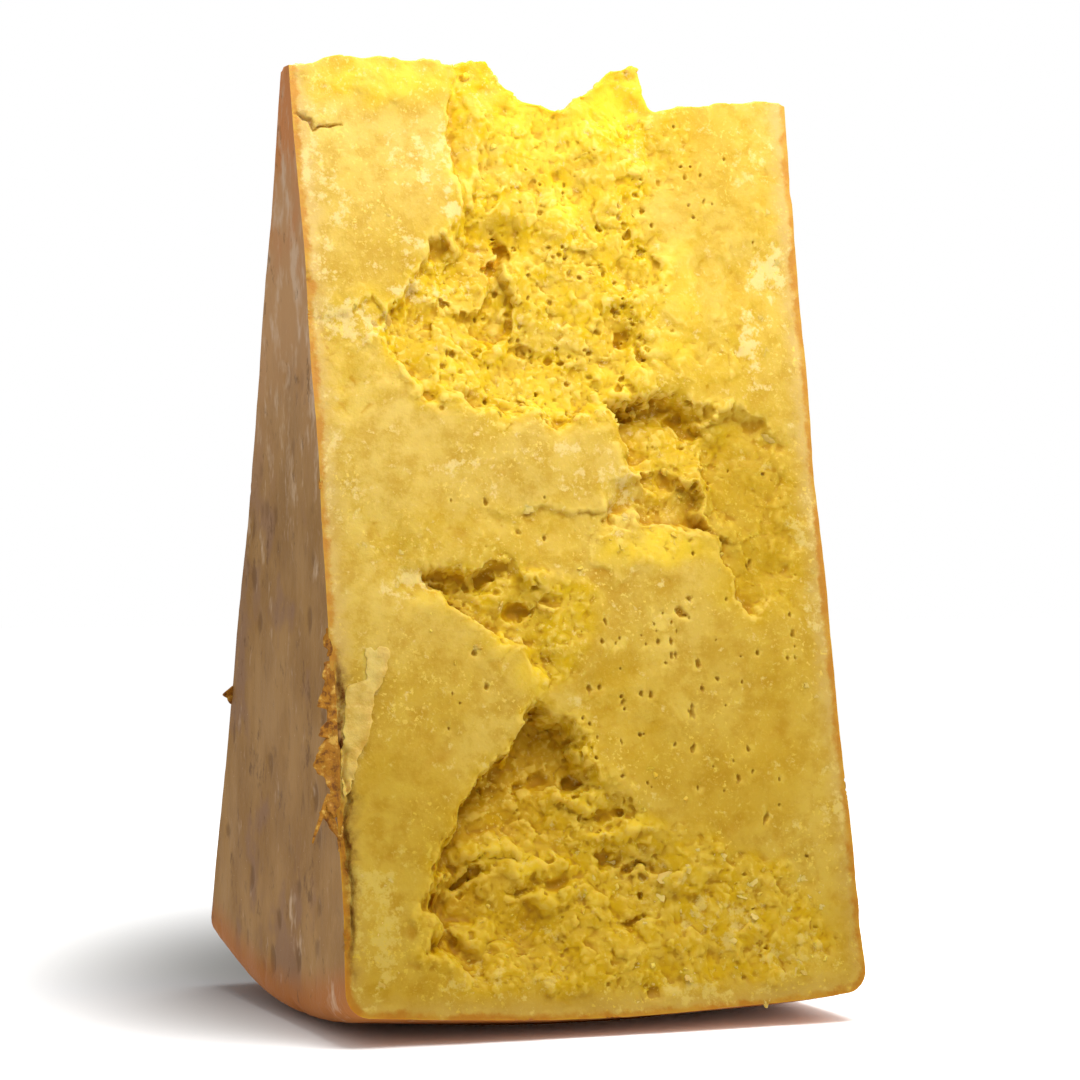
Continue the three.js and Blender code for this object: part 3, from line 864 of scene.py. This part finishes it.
def grainNoise(tree, size, detail=3.0, rough=0.55, upwards=1):  # size in millimetres
    values = {"Vector": objectPlace(tree, upwards), "Scale": 1 / (size * mm), "Detail": detail,
              "Roughness": rough}
    return addNode(tree, "ShaderNodeTexNoise", values).outputs[0]


def ownValue(tree, name):
    return addNode(tree, "ShaderNodeAttribute", attribute_name=name).outputs["Fac"]


def heightOf(tree):
    return addNode(tree, "ShaderNodeSeparateXYZ", {0: objectPlace(tree)}).outputs[2]


def newMaterial(name):
    material = bpy.data.materials.new(name)
    material.use_nodes = True
    tree = material.node_tree
    return material, tree, tree.nodes["Principled BSDF"]


# mottled tones, shared by the chunk and its small pieces: size, detail, roughness and stretch of each
# layer, and where its colour begins to come in, where it ends and how strong it gets
toneLayers = {
    "paste": {
        "cloud": ((30, 2, 0.55, 1), (0.35, 0.65, 1)),
        "patches": ((4.5, 4, 0.6, 1), (0.6, 0.34, 0.7)),
        "grit": ((0.8, 2, 0.65, 1), (0.52, 0.74, 0.6)),
    },
    "rind": {
        "cloud": ((14, 3, 0.6, 1.8), (0.34, 0.66, 1)),
        "patches": ((3, 3, 0.65, 2.4), (0.44, 0.24, 0.4)),
        "grit": ((0.9, 2, 0.6, 1), (0.56, 0.76, 0.35)),
    },
}


def makeTone(name):
    tree = bpy.data.node_groups.new(name + "Tone", "ShaderNodeTree")
    for label in ("Pale", "Middle", "Deep"):
        tree.interface.new_socket(label, in_out="INPUT", socket_type="NodeSocketColor")
    for label, kind in (("Color", "Color"), ("Patches", "Float"), ("Grit", "Float")):
        tree.interface.new_socket(label, in_out="OUTPUT", socket_type="NodeSocket" + kind)
    given, result = tree.nodes.new("NodeGroupInput"), tree.nodes.new("NodeGroupOutput")
    colour = given.outputs["Middle"]
    noise = {}
    for layer, over in (("cloud", "Pale"), ("patches", "Deep"), ("grit", "Pale")):
        grain, (low, high, most) = toneLayers[name][layer]
        noise[layer] = grainNoise(tree, *grain)
        colour = tint(tree, colour, given.outputs[over], noise[layer], low, high, most)
    for label, value in (("Color", colour), ("Patches", noise["patches"]), ("Grit", noise["grit"])):
        tree.links.new(value, result.inputs[label])
    return tree


toneGroups = {name: makeTone(name) for name in toneLayers}

pasteColours = {
    "pale": rgb(216, 185, 92),
    "middle": rgb(205, 169, 58),
    "deep": rgb(190, 150, 40),
    "crumb": rgb(216, 178, 16),
    # painted shade for the hollows
    "hollow": rgb(198, 152, 14),
    # painted shade for nooks and pockets
    "nookShade": rgb(186, 134, 8),
    # fresher cheese, and a painted highlight on ledge tops and the tip
    "bright": rgb(240, 206, 56),
    # the pale of convex edges, partly wear and partly a painted highlight, and of the real fine flecks
    "edge": rgb(232, 204, 104),
    "scuff": rgb(228, 204, 134),
    # painted shade inside the pinholes
    "hole": rgb(150, 106, 10),
    "underRind": rgb(204, 170, 104),
    "crack": rgb(112, 62, 20),
    # riper paste and painted shade, multiplied in
    "riperAndShade": rgb(232, 225, 166),  # multiplies the others
}
rindColours = {
    "light": rgb(178, 134, 76),
    "brown": rgb(158, 114, 56),
    "dark": rgb(116, 80, 40),
    "mauve": rgb(152, 114, 84),
    "upper": rgb(206, 156, 104),
    "top": rgb(214, 132, 66),
    "band": rgb(184, 108, 36),
    "line": rgb(190, 130, 44),
    "mould": rgb(222, 190, 156),
    "shred": rgb(200, 152, 60),
    "strip": rgb(172, 116, 32),
    "stripDeep": rgb(142, 90, 20),
    "cream": rgb(212, 168, 76),
    "torn": rgb(104, 58, 22),
}


def addTone(tree, name, pale, middle, deep):  # the mottled colour, its patches and its grit
    node = addNode(tree, "ShaderNodeGroup", {"Pale": pale, "Middle": middle, "Deep": deep},
                   node_tree=toneGroups[name])
    return [node.outputs[label] for label in ("Color", "Patches", "Grit")]


def setFinish(tree, shader, colour, patches, roughness, specular):  # roughness from low to high
    tree.links.new(colour, shader.inputs["Base Color"])
    tree.links.new(spread(tree, patches, 0.3, 0.7, *roughness), shader.inputs["Roughness"])
    shader.inputs["Specular IOR Level"].default_value = specular


def addBump(tree, shader, height, distance, strength):
    values = {"Strength": strength, "Distance": distance * mm, "Height": height}
    bump = addNode(tree, "ShaderNodeBump", values)
    tree.links.new(bump.outputs["Normal"], shader.inputs["Normal"])


sinksIn = (1.0, 0.62, 0.16)  # how far each colour of light goes


def softInside(shader, weight, scale):  # light that sinks in and comes out yellow
    shader.inputs["Subsurface Weight"].default_value = weight
    shader.inputs["Subsurface Radius"].default_value = sinksIn
    shader.inputs["Subsurface Scale"].default_value = scale * mm


def makePaste():
    material, tree, shader = newMaterial("cheese paste")
    paint = pasteColours
    colour, patches, grit = addTone(tree, "paste", paint["pale"], paint["middle"], paint["deep"])
    underRind, nookShade = ownValue(tree, "underRind"), ownValue(tree, "nookShade")

    # yellower where it crumbled; painted shade, browner and darker in the hollows, nooks and pockets;
    # paler on the edges of flakes, partly wear and partly a painted highlight; brighter on fresh ledges
    # and the tip, partly a painted highlight
    yellower = times(tree, ownValue(tree, "crumbs"), spread(tree, patches, 0.36, 0.64, 0.95, 0.45))
    colour = mixColour(tree, yellower, colour, paint["crumb"])
    # painted shade: browner and darker the deeper the surface sinks below the cut
    colour = tint(tree, colour, paint["hollow"], ownValue(tree, "sunk"), 3, 11, 0.75)
    # brighter on fresh ledges and the tip, partly a painted highlight
    colour = mixColour(tree, times(tree, ownValue(tree, "bright"), 0.9), colour, paint["bright"])
    # painted shade: darker in broad pockets and in small nooks
    colour = tint(tree, colour, paint["nookShade"], ownValue(tree, "pocketShade"), 0.1, 1.2, 0.6)
    colour = tint(tree, colour, paint["nookShade"], nookShade, 0.02, 0.24, 0.7)
    # paler on convex edges: partly wear, partly a painted highlight
    colour = tint(tree, colour, paint["edge"], nookShade, -0.02, -0.22, 0.6)
    colour = tint(tree, colour, paint["underRind"], plus(tree, underRind, patches, -6), 3.0, -2.4, 0.75)

    # whitish scuffs break up into flaky edges, with fine flecks in some places
    flaky = grainNoise(tree, 3.2, 4, 0.7)
    scuffed = plus(tree, flaky, ownValue(tree, "scuffs"), 0.19)
    colour = tint(tree, colour, paint["scuff"], scuffed, 0.59, 0.73, 0.8)
    flecks = spread(tree, grainNoise(tree, 1.0, 2, 0.6), 0.58, 0.68)
    flecks = times(tree, flecks, spread(tree, grainNoise(tree, 13, 2), 0.44, 0.62, 0.1, 0.8))
    colour = mixColour(tree, flecks, colour, paint["edge"])
    # painted shade: darker inside the pinholes
    colour = mixColour(tree, times(tree, ownValue(tree, "pinholes"), 0.5), colour, paint["hole"])

    # the rind seen edge-on round the cut, and the cracks along it
    edge = plus(tree, plus(tree, underRind, patches, 2.4), flaky, 3.0)
    line = tint(tree, rindColours["line"], rindColours["shred"], patches, 0.4, 0.6)
    colour = tint(tree, colour, line, edge, 4.7, 3.4, 0.9)
    # dark in the cracks; for the little one near the top left this is partly painted shade
    crack = times(tree, ownValue(tree, "cracked"), spread(tree, flaky, 0.34, 0.6, 1.0, 0.35))
    colour = mixColour(tree, crack, colour, paint["crack"])

    # riper and deeper in colour, less blue, towards the heel and in a few other places; the darkening in
    # it is partly painted shade, low down where less light falls and over the sunken panel beside the
    # right rind
    ripeAndShade = plus(tree, spread(tree, heightOf(tree), 0.15, -0.02), ownValue(tree, "ripeAndShade"))
    colour = mixColour(tree, ripeAndShade, colour, paint["riperAndShade"], "MULTIPLY")
    setFinish(tree, shader, colour, patches, (0.42, 0.62), 0.1)
    addBump(tree, shader, grit, 0.3, 0.4)
    softInside(shader, 0.6, 2.0)
    return material


def makeRind():
    material, tree, shader = newMaterial("cheese rind")
    paint = rindColours
    colour, streaks, grit = addTone(tree, "rind", paint["light"], paint["brown"], paint["dark"])
    height = heightOf(tree)
    broad = grainNoise(tree, 22, 3, 0.6)
    spots = grainNoise(tree, 4, 4, 0.7, 1.4)
    colour = tint(tree, colour, paint["mauve"], broad, 0.5, 0.64, 0.8)
    colour = tint(tree, colour, paint["light"], spots, 0.42, 0.28, 0.6)
    # painted shade: darker in the rind's dents and creases
    colour = tint(tree, colour, paint["dark"], ownValue(tree, "nookShade"), 0.02, 0.14, 0.55)

    # paler higher up, redder at the top, orange round the rim
    up = plus(tree, height, broad, 0.06)
    colour = tint(tree, colour, paint["upper"], up, 0.13, 0.175, 0.8)
    colour = tint(tree, colour, paint["top"], up, 0.18, 0.22, 0.85)
    rim = plus(tree, ownValue(tree, "underRim"), broad, 6)
    colour = tint(tree, colour, paint["band"], rim, 15, 7, 0.85)

    # pale dry bloom in tall smears, mostly higher up, and a few white specks
    smear = plus(tree, grainNoise(tree, 5, 3, 0.7, 2), spread(tree, height, 0.03, 0.17, -0.05, 0.06))
    smear = plus(tree, smear, ownValue(tree, "smears"), 0.19)
    colour = tint(tree, colour, paint["mould"], smear, 0.56, 0.8, 0.75)
    stained = plus(tree, spots, ownValue(tree, "stains"), 0.14)
    colour = tint(tree, colour, paint["dark"], stained, 0.58, 0.74, 0.75)
    colour = tint(tree, colour, paint["mould"], grit, 0.72, 0.78, 0.6)
    setFinish(tree, shader, colour, broad, (0.55, 0.72), 0.22)
    addBump(tree, shader, plus(tree, times(tree, streaks, 0.6), grit, 0.4), 0.5, 0.5)
    return material


chunk = makeChunk()
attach(chunk, "root")
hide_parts("cheese_chunk")


# flakes, slivers, shreds and crumbs that cling to the chunk

outward = Vector((0, -math.cos(wheel["frontLean"]), math.sin(wheel["frontLean"])))


def onFront(x, z, sink=0.0):  # the finished front at this place: a point on it and the way it faces
    down = (wheel["axisHeight"] - z) / math.cos(wheel["frontLean"])
    start = Vector(facePoint(-1, np.array([x]), np.array([down]), np.array([-15.0]))[0]) * mm
    hit, place, normal, index = chunk.ray_cast(start, -outward)
    return place - normal * sink * mm if hit else None, normal


def noiseAt(x, y, z, layers):
    return layeredNoise(np.array([[x, y, z]]), layers)[0]


def newShape(add, **settings):
    bpy.ops.object.select_all(action="DESELECT")
    add(**settings)
    return bpy.context.active_object


def newGrid(across, along):
    return newShape(bpy.ops.mesh.primitive_grid_add, x_subdivisions=across, y_subdivisions=along, size=2)


def thicken(piece, thickness):  # in millimetres
    applyModifier(piece, "SOLIDIFY", thickness=thickness * mm, offset=0)
    applyModifier(piece, "SUBSURF", levels=1, render_levels=1)


smallSharp = math.radians(40)


def finishPiece(piece, name, material):
    onlyThis(piece)
    bpy.ops.object.transform_apply(location=True, rotation=True, scale=True)
    bpy.ops.object.shade_smooth_by_angle(angle=smallSharp)
    piece.name = piece.data.name = name
    piece.data.materials.clear()
    piece.data.materials.append(material)
    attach(piece, "root")


def joinPieces(pieces):
    bpy.ops.object.select_all(action="DESELECT")
    for piece in pieces:
        piece.select_set(True)
    bpy.context.view_layer.objects.active = pieces[0]
    bpy.ops.object.join()
    return bpy.context.active_object


def smallMaterial(name, pale, middle, deep):
    material, tree, shader = newMaterial(name)
    colour, patches, grit = addTone(tree, "paste", rgb(*pale), rgb(*middle), rgb(*deep))
    setFinish(tree, shader, colour, patches, (0.46, 0.64), 0.22)
    addBump(tree, shader, grit, 0.3, 0.5)
    softInside(shader, 0.45, 1.2)
    return material


# pale sliver that peels off the front: its two edges as x and z, and how far the right one lifts
sliver = {
    "left": [(-46.7, 75.7), (-47.2, 71.3), (-46.9, 70.1), (-50.4, 69.6), (-51.4, 67.6), (-51.8, 62.7),
             (-52.6, 58.5), (-53.0, 53.1), (-53.0, 49.3), (-52.8, 47.9)],
    "right": [(-42.4, 75.7), (-42.6, 72.8), (-43.6, 69.9), (-45.6, 67.6), (-46.5, 62.2), (-47.4, 60.2),
              (-48.0, 57.6), (-49.7, 55.5), (-50.8, 51.9), (-52.4, 47.9)],
    "furthest": -53.2,
    "foot": 0.12,
    "lift": 0.8,
    "thickness": 0.32,
    "frayed": [(1.9, 71, 0.3), (0.6, 72, 0.4)],  # size, seed and height
    "tornEnds": [(0.9, 73, 1.5)],
    "wrinkled": [(2.0, 74, 1)],
}


def makeSlivers():
    piece = newGrid(14, 84)
    high, low = sliver["left"][0][1], sliver["left"][-1][1]
    for vertex in piece.data.vertices:
        across, share = (vertex.co.x + 1) / 2, (vertex.co.y + 1) / 2
        z = high + (low - high) * share
        edges = []
        for start, key in ((0, "left"), (20, "right")):
            edgeX, edgeZ = zip(*sliver[key][::-1])
            edges.append(np.interp(z, edgeZ, edgeX) + noiseAt(start, 0, z, sliver["frayed"]))
        left, right = edges
        x = max(sliver["furthest"], left + (max(right, left + 0.2) - left) * across)
        z += noiseAt(x, 0, 0, sliver["tornEnds"]) * (1 - 2 * share) ** 2
        wrinkle = noiseAt(x, 0, z, sliver["wrinkled"])
        rise = sliver["foot"] + sliver["lift"] * across ** 1.6 * (1 + 0.6 * wrinkle) + 0.2 * wrinkle
        vertex.co = onFront(x, z)[0] + outward * rise * mm
    thicken(piece, sliver["thickness"])
    finishPiece(piece, "slivers", paleFinish)


# torn strips of rind along the left edge: the top, the length, and how far each stands out on its way down
flaps = [
    (80.5, 5.5, (0.2, 0.7, 0.9, 0.5)), (74.2, 9.4, (1.2, 1.6, 1.4, 1.8, 1.9, 3.0, 0.8)),
    (65.6, 6.2, (0.9, 1.3, 1.6, 2.3, 3.1, 1.2)), (60.4, 16.2, (1.0, 3.0, 3.3, 3.8, 2.2, 1.9, 2.8, 0.6)),
]
rearFlap = (66.4, 4.0, (0.4, 2.2, 1.4, 0.4))

# splinters: how far out and how high the foot is, the way it points (out, up), its length and its width
splinters = [
    (1.4, 48.6, 0.46, -1, 10.2, 0.9), (2.4, 45.8, -0.42, -1, 6.8, 2.2), (-0.5, 42.5, 0.15, -1, 5.0, 1.0),
    (-0.5, 110, 0.25, -1, 2.4, 0.7),
]
shreds = {
    "seed": 3,
    "thickness": 0.45,
    "root": 0.9,  # how far each strip reaches in under the rind
    "facets": 0.3,  # length of each
    "swollen": [(1.4, 81, 0.25)],  # size, seed and height
    "frayed": [(0.6, 82, 0.45)],
    "crumpled": [(1.2, 83, 0.9)],
    "splintered": [(0.9, 84, 1)],
}


def leftEdge(z, side=-1):  # where the left rind meets the cut at this height
    down = wheel["axisHeight"] - z
    return dishAt(down / math.cos(leans[side])) - wheel["halfWidth"], side * down * math.tan(leans[side])


def shapeFlap(piece, flap, side, draw):
    top, length, outs = flap
    curl, start = draw.uniform(-0.2, 0.9), draw.uniform(0, 90)
    for vertex in piece.data.vertices:
        across, share = (vertex.co.x + 1) / 2, (vertex.co.y + 1) / 2
        down = length * share
        here = np.interp(share * (len(outs) - 1), range(len(outs)), outs)
        here = here * (1 + noiseAt(start, 0, down, shreds["swollen"]))
        here = here + noiseAt(start, 0, down, shreds["frayed"])
        out = (here + shreds["root"]) * across - shreds["root"]
        z = top - down - 0.3 * max(0, out)
        x, y = leftEdge(z, side)
        crumple = noiseAt(start + out, 0, down * 0.5, shreds["crumpled"])
        y += side * (curl * across ** 2 + crumple * across - 0.5)
        vertex.co = Vector((x - out, y, z)) * mm


def shapeSplinter(piece, splinter, draw):
    footOut, footUp, wayOut, wayUp, length, width = splinter
    way = Vector((wayOut, wayUp)).normalized()
    curl, twist, start = draw.uniform(-0.4, 1.4), draw.uniform(-0.5, 0.5), draw.uniform(0, 50)
    for vertex in piece.data.vertices:
        across, share = vertex.co.x, (vertex.co.y + 1) / 2
        frayed = noiseAt(across * 2, start, share * length, shreds["splintered"])
        half = width / 2 * (1 - share ** 1.6) * (1 + 0.6 * frayed) + 0.08
        out = footOut + way.x * length * share + way.y * across * half
        z = footUp + way.y * length * share - way.x * across * half
        x, y = leftEdge(z)
        y -= curl * share ** 2 + twist * across * half + 0.25 * frayed - 0.6
        vertex.co = Vector((x - out, y, z)) * mm


def makeShreds():
    made = []
    draw = random.Random(shreds["seed"])
    for flap in flaps + [rearFlap]:
        piece = newGrid(8, round(flap[1] / shreds["facets"]))
        shapeFlap(piece, flap, 1 if flap is rearFlap else -1, draw)
        made.append(piece)
    for splinter in splinters:
        piece = newGrid(4, 10)
        shapeSplinter(piece, splinter, draw)
        made.append(piece)
    for piece in made:
        thicken(piece, shreds["thickness"])
    finishPiece(joinPieces(made), "rind_shreds", makeShredFinish())


def makeShredFinish():
    material, tree, shader = newMaterial("rind shreds")
    paint = rindColours
    colour, streaks, grit = addTone(tree, "rind", paint["strip"], paint["stripDeep"], paint["torn"])
    bits = grainNoise(tree, 1.8, 3, 0.65)
    colour = tint(tree, colour, paint["cream"], bits, 0.52, 0.68, 0.8)
    colour = tint(tree, colour, paint["torn"], bits, 0.5, 0.34, 0.85)
    setFinish(tree, shader, colour, streaks, (0.5, 0.7), 0.15)
    addBump(tree, shader, grit, 0.3, 0.6)
    softInside(shader, 0.2, 1.0)
    return material


# thin flakes and small crumbs: least and largest size, tilt, how deep they sit in the front,
# and how many in each place (x, z, half width, half height)
looseFlakes = {"sizes": (1.0, 4.0), "tilt": 0.25, "sink": 0.08, "places": [
    (26, (26, 22, 22, 12)), (10, (2, 8.5, 40, 3.5)), (10, (-47, 24, 4, 15)), (8, (-39, 91, 8, 5)),
    (12, (47, 132, 4, 26)), (10, (-44, 143, 8, 4)), (10, (-12, 103, 30, 3)), (8, (-25, 81, 14, 7)),
    (8, (50, 70, 2, 24)), (6, (-34, 172, 10, 10)), (10, (6, 30, 14, 8)), (6, (48, 160, 3, 8))]}
looseCrumbs = {"sizes": (0.8, 2.4), "tilt": 1.0, "sink": 0.5, "places": [
    (26, (-14, 30, 20, 14)), (14, (0, 127, 20, 5)), (16, (14, 96, 18, 5)), (10, (-26, 134, 12, 6)),
    (12, (-18, 81, 16, 9)), (12, (10, 44, 14, 8)), (14, (4, 160, 20, 26)), (10, (24, 116, 8, 10)),
    (20, (26, 22, 24, 12))]}
shapeCount = 6  # of each kind
clearOfRind = 51  # none lies further out than this


def flakeShape(draw):  # a ragged thin scale, about two units across, its rim turned down
    shape = newShape(bpy.ops.mesh.primitive_circle_add, vertices=16, radius=1, fill_type="TRIFAN")
    long = draw.uniform(0.4, 0.85)
    for vertex in shape.data.vertices:
        out = draw.uniform(0.66, 1.1)
        sag = -0.16 * vertex.co.length + draw.uniform(-0.05, 0.05)
        vertex.co = Vector((vertex.co.x * out, vertex.co.y * out * long, sag))
    applyModifier(shape, "SOLIDIFY", thickness=0.2, offset=0)
    return shape


def crumbShape(draw):  # a broken lump with flat sides, about two units across
    shape = newShape(bpy.ops.mesh.primitive_ico_sphere_add, subdivisions=2, radius=1)
    flats = []
    for i in range(8):
        way = Vector([draw.gauss(0, 1) for k in range(3)]).normalized()
        flats.append((way, draw.uniform(0.3, 0.75)))
    for vertex in shape.data.vertices:
        for way, far in flats:
            vertex.co -= way * max(0, vertex.co.dot(way) - far)
        vertex.co *= draw.uniform(0.92, 1.08)
    return shape


def scatter(name, bits, newBit, draw, material):
    shapes = [newBit(draw) for i in range(shapeCount)]
    least, largest = bits["sizes"]
    tilt = bits["tilt"]
    made = []
    for count, (x, z, halfWidth, halfHeight) in bits["places"]:
        for i in range(count):
            spotX, spotZ = x + halfWidth * draw.uniform(-1, 1), z + halfHeight * draw.uniform(-1, 1)
            size = least + (largest - least) * draw.random() ** 2
            turn = draw.uniform(0, 2 * math.pi)
            leanX, leanY = draw.uniform(-tilt, tilt), draw.uniform(-tilt, tilt)
            shape = draw.choice(shapes)
            if abs(spotX) > clearOfRind:
                continue
            place, normal = onFront(spotX, spotZ, bits["sink"] * size / 2)
            piece = shape.copy()
            piece.data = shape.data.copy()
            bpy.context.scene.collection.objects.link(piece)
            facing = normal.to_track_quat("Z", "Y").to_matrix().to_4x4()
            lean = Matrix.Rotation(leanX, 4, "X") @ Matrix.Rotation(leanY, 4, "Y")
            lean = lean @ Matrix.Rotation(turn, 4, "Z")
            small = Matrix.Scale(size / 2 * mm, 4)
            piece.data.transform(Matrix.Translation(place) @ facing @ lean @ small)
            made.append(piece)
    finishPiece(joinPieces(made), name, material)
    for shape in shapes:
        bpy.data.objects.remove(shape)


paleFinish = smallMaterial("pale flakes", (222, 190, 104), (208, 172, 78), (192, 150, 50))
crumbFinish = smallMaterial("cheese crumbs", (230, 198, 84), (214, 174, 44), (194, 148, 24))
draw = random.Random(11)
makeSlivers()
makeShreds()
scatter("flakes", looseFlakes, flakeShape, draw, paleFinish)
scatter("crumbs", looseCrumbs, crumbShape, draw, crumbFinish)
print("flakes, slivers, shreds and crumbs in place")


# stage, light and camera

studio = {
    "floorSize": 6,
    "floorColour": (0.9, 0.9, 0.9, 1),
    "floorSeen": (1.95, 1.95, 1.95, 1),  # lifted to white for the camera alone
    # a painted soft shadow on the floor, on the left, for the camera alone
    "shade": {"centre": (-25, 93, 0), "halfWidth": 120, "halfLength": 270, "strength": 0.86},
    "world": 0.52,
    "lights": [  # name, place in millimetres, aimed at, size, watts
        ("key", (34, -150, 330), (0, 0, 160), 0.22, 0.84),
        ("top", (-10, 110, 400), (0, 0, 180), 0.25, 0.6),
    ],
    "camera": (-243.9, -653.1, 97.7),
    "yaw": math.radians(20.5),
    "sensor": 36,
    "focal": 3338.4 / 1080,  # for each unit of the sensor's width
}


def makeFloor():
    floor = newShape(bpy.ops.mesh.primitive_plane_add, size=studio["floorSize"])
    floor.name = "floor"
    material, tree, shader = newMaterial("pale floor")
    shader.inputs["Base Color"].default_value = studio["floorColour"]
    shader.inputs["Roughness"].default_value = 0.9
    shade = studio["shade"]
    values = {"Vector": objectPlace(tree), "Location": [c * mm for c in shade["centre"]],
              "Rotation": (0, 0, -studio["yaw"]),
              "Scale": (shade["halfWidth"] * mm, shade["halfLength"] * mm, 1)}
    place = addNode(tree, "ShaderNodeMapping", values, vector_type="TEXTURE").outputs["Vector"]
    away = addNode(tree, "ShaderNodeVectorMath", {0: place}, operation="LENGTH").outputs["Value"]
    # the floor as the camera sees it, darkened towards the centre of a painted shadow
    floorWithPaintedShadow = tint(tree, studio["floorSeen"], (0, 0, 0, 1), away, 1, 0, shade["strength"])
    seen = addNode(tree, "ShaderNodeBsdfDiffuse", {"Color": floorWithPaintedShadow})
    camera = addNode(tree, "ShaderNodeLightPath").outputs["Is Camera Ray"]
    both = addNode(tree, "ShaderNodeMixShader", {0: camera, 1: shader.outputs[0], 2: seen.outputs[0]})
    tree.links.new(both.outputs[0], tree.nodes["Material Output"].inputs["Surface"])
    floor.data.materials.append(material)


def makeLights():
    for name, place, aim, size, watts in studio["lights"]:
        bpy.ops.object.light_add(type="AREA", location=[c * mm for c in place])
        light = bpy.context.active_object
        light.name = name
        light.data.shape = "DISK"
        light.data.size = size
        light.data.energy = watts
        light.rotation_euler = (Vector(aim) - Vector(place)).to_track_quat("-Z", "Y").to_euler()
    world = bpy.data.worlds.new("studio")
    world.use_nodes = True
    sky = world.node_tree
    background = sky.nodes["Background"]
    seen = addNode(sky, "ShaderNodeLightPath").outputs["Is Camera Ray"]
    background.inputs["Color"].default_value = (1, 1, 1, 1)
    sky.links.new(spread(sky, seen, 0, 1, studio["world"], 1), background.inputs["Strength"])
    bpy.context.scene.world = world
    bpy.context.scene.view_settings.view_transform = "Standard"


def makeCamera():
    bpy.ops.object.camera_add(location=[c * mm for c in studio["camera"]])
    camera = bpy.context.active_object
    look = Vector((math.sin(studio["yaw"]), math.cos(studio["yaw"]), 0))
    camera.rotation_euler = look.to_track_quat("-Z", "Y").to_euler()
    camera.data.sensor_width = studio["sensor"]
    camera.data.lens = studio["focal"] * studio["sensor"]
    camera.data.clip_start = 0.01
    bpy.context.scene.camera = camera


makeFloor()
makeLights()
makeCamera()
print("stage ready")
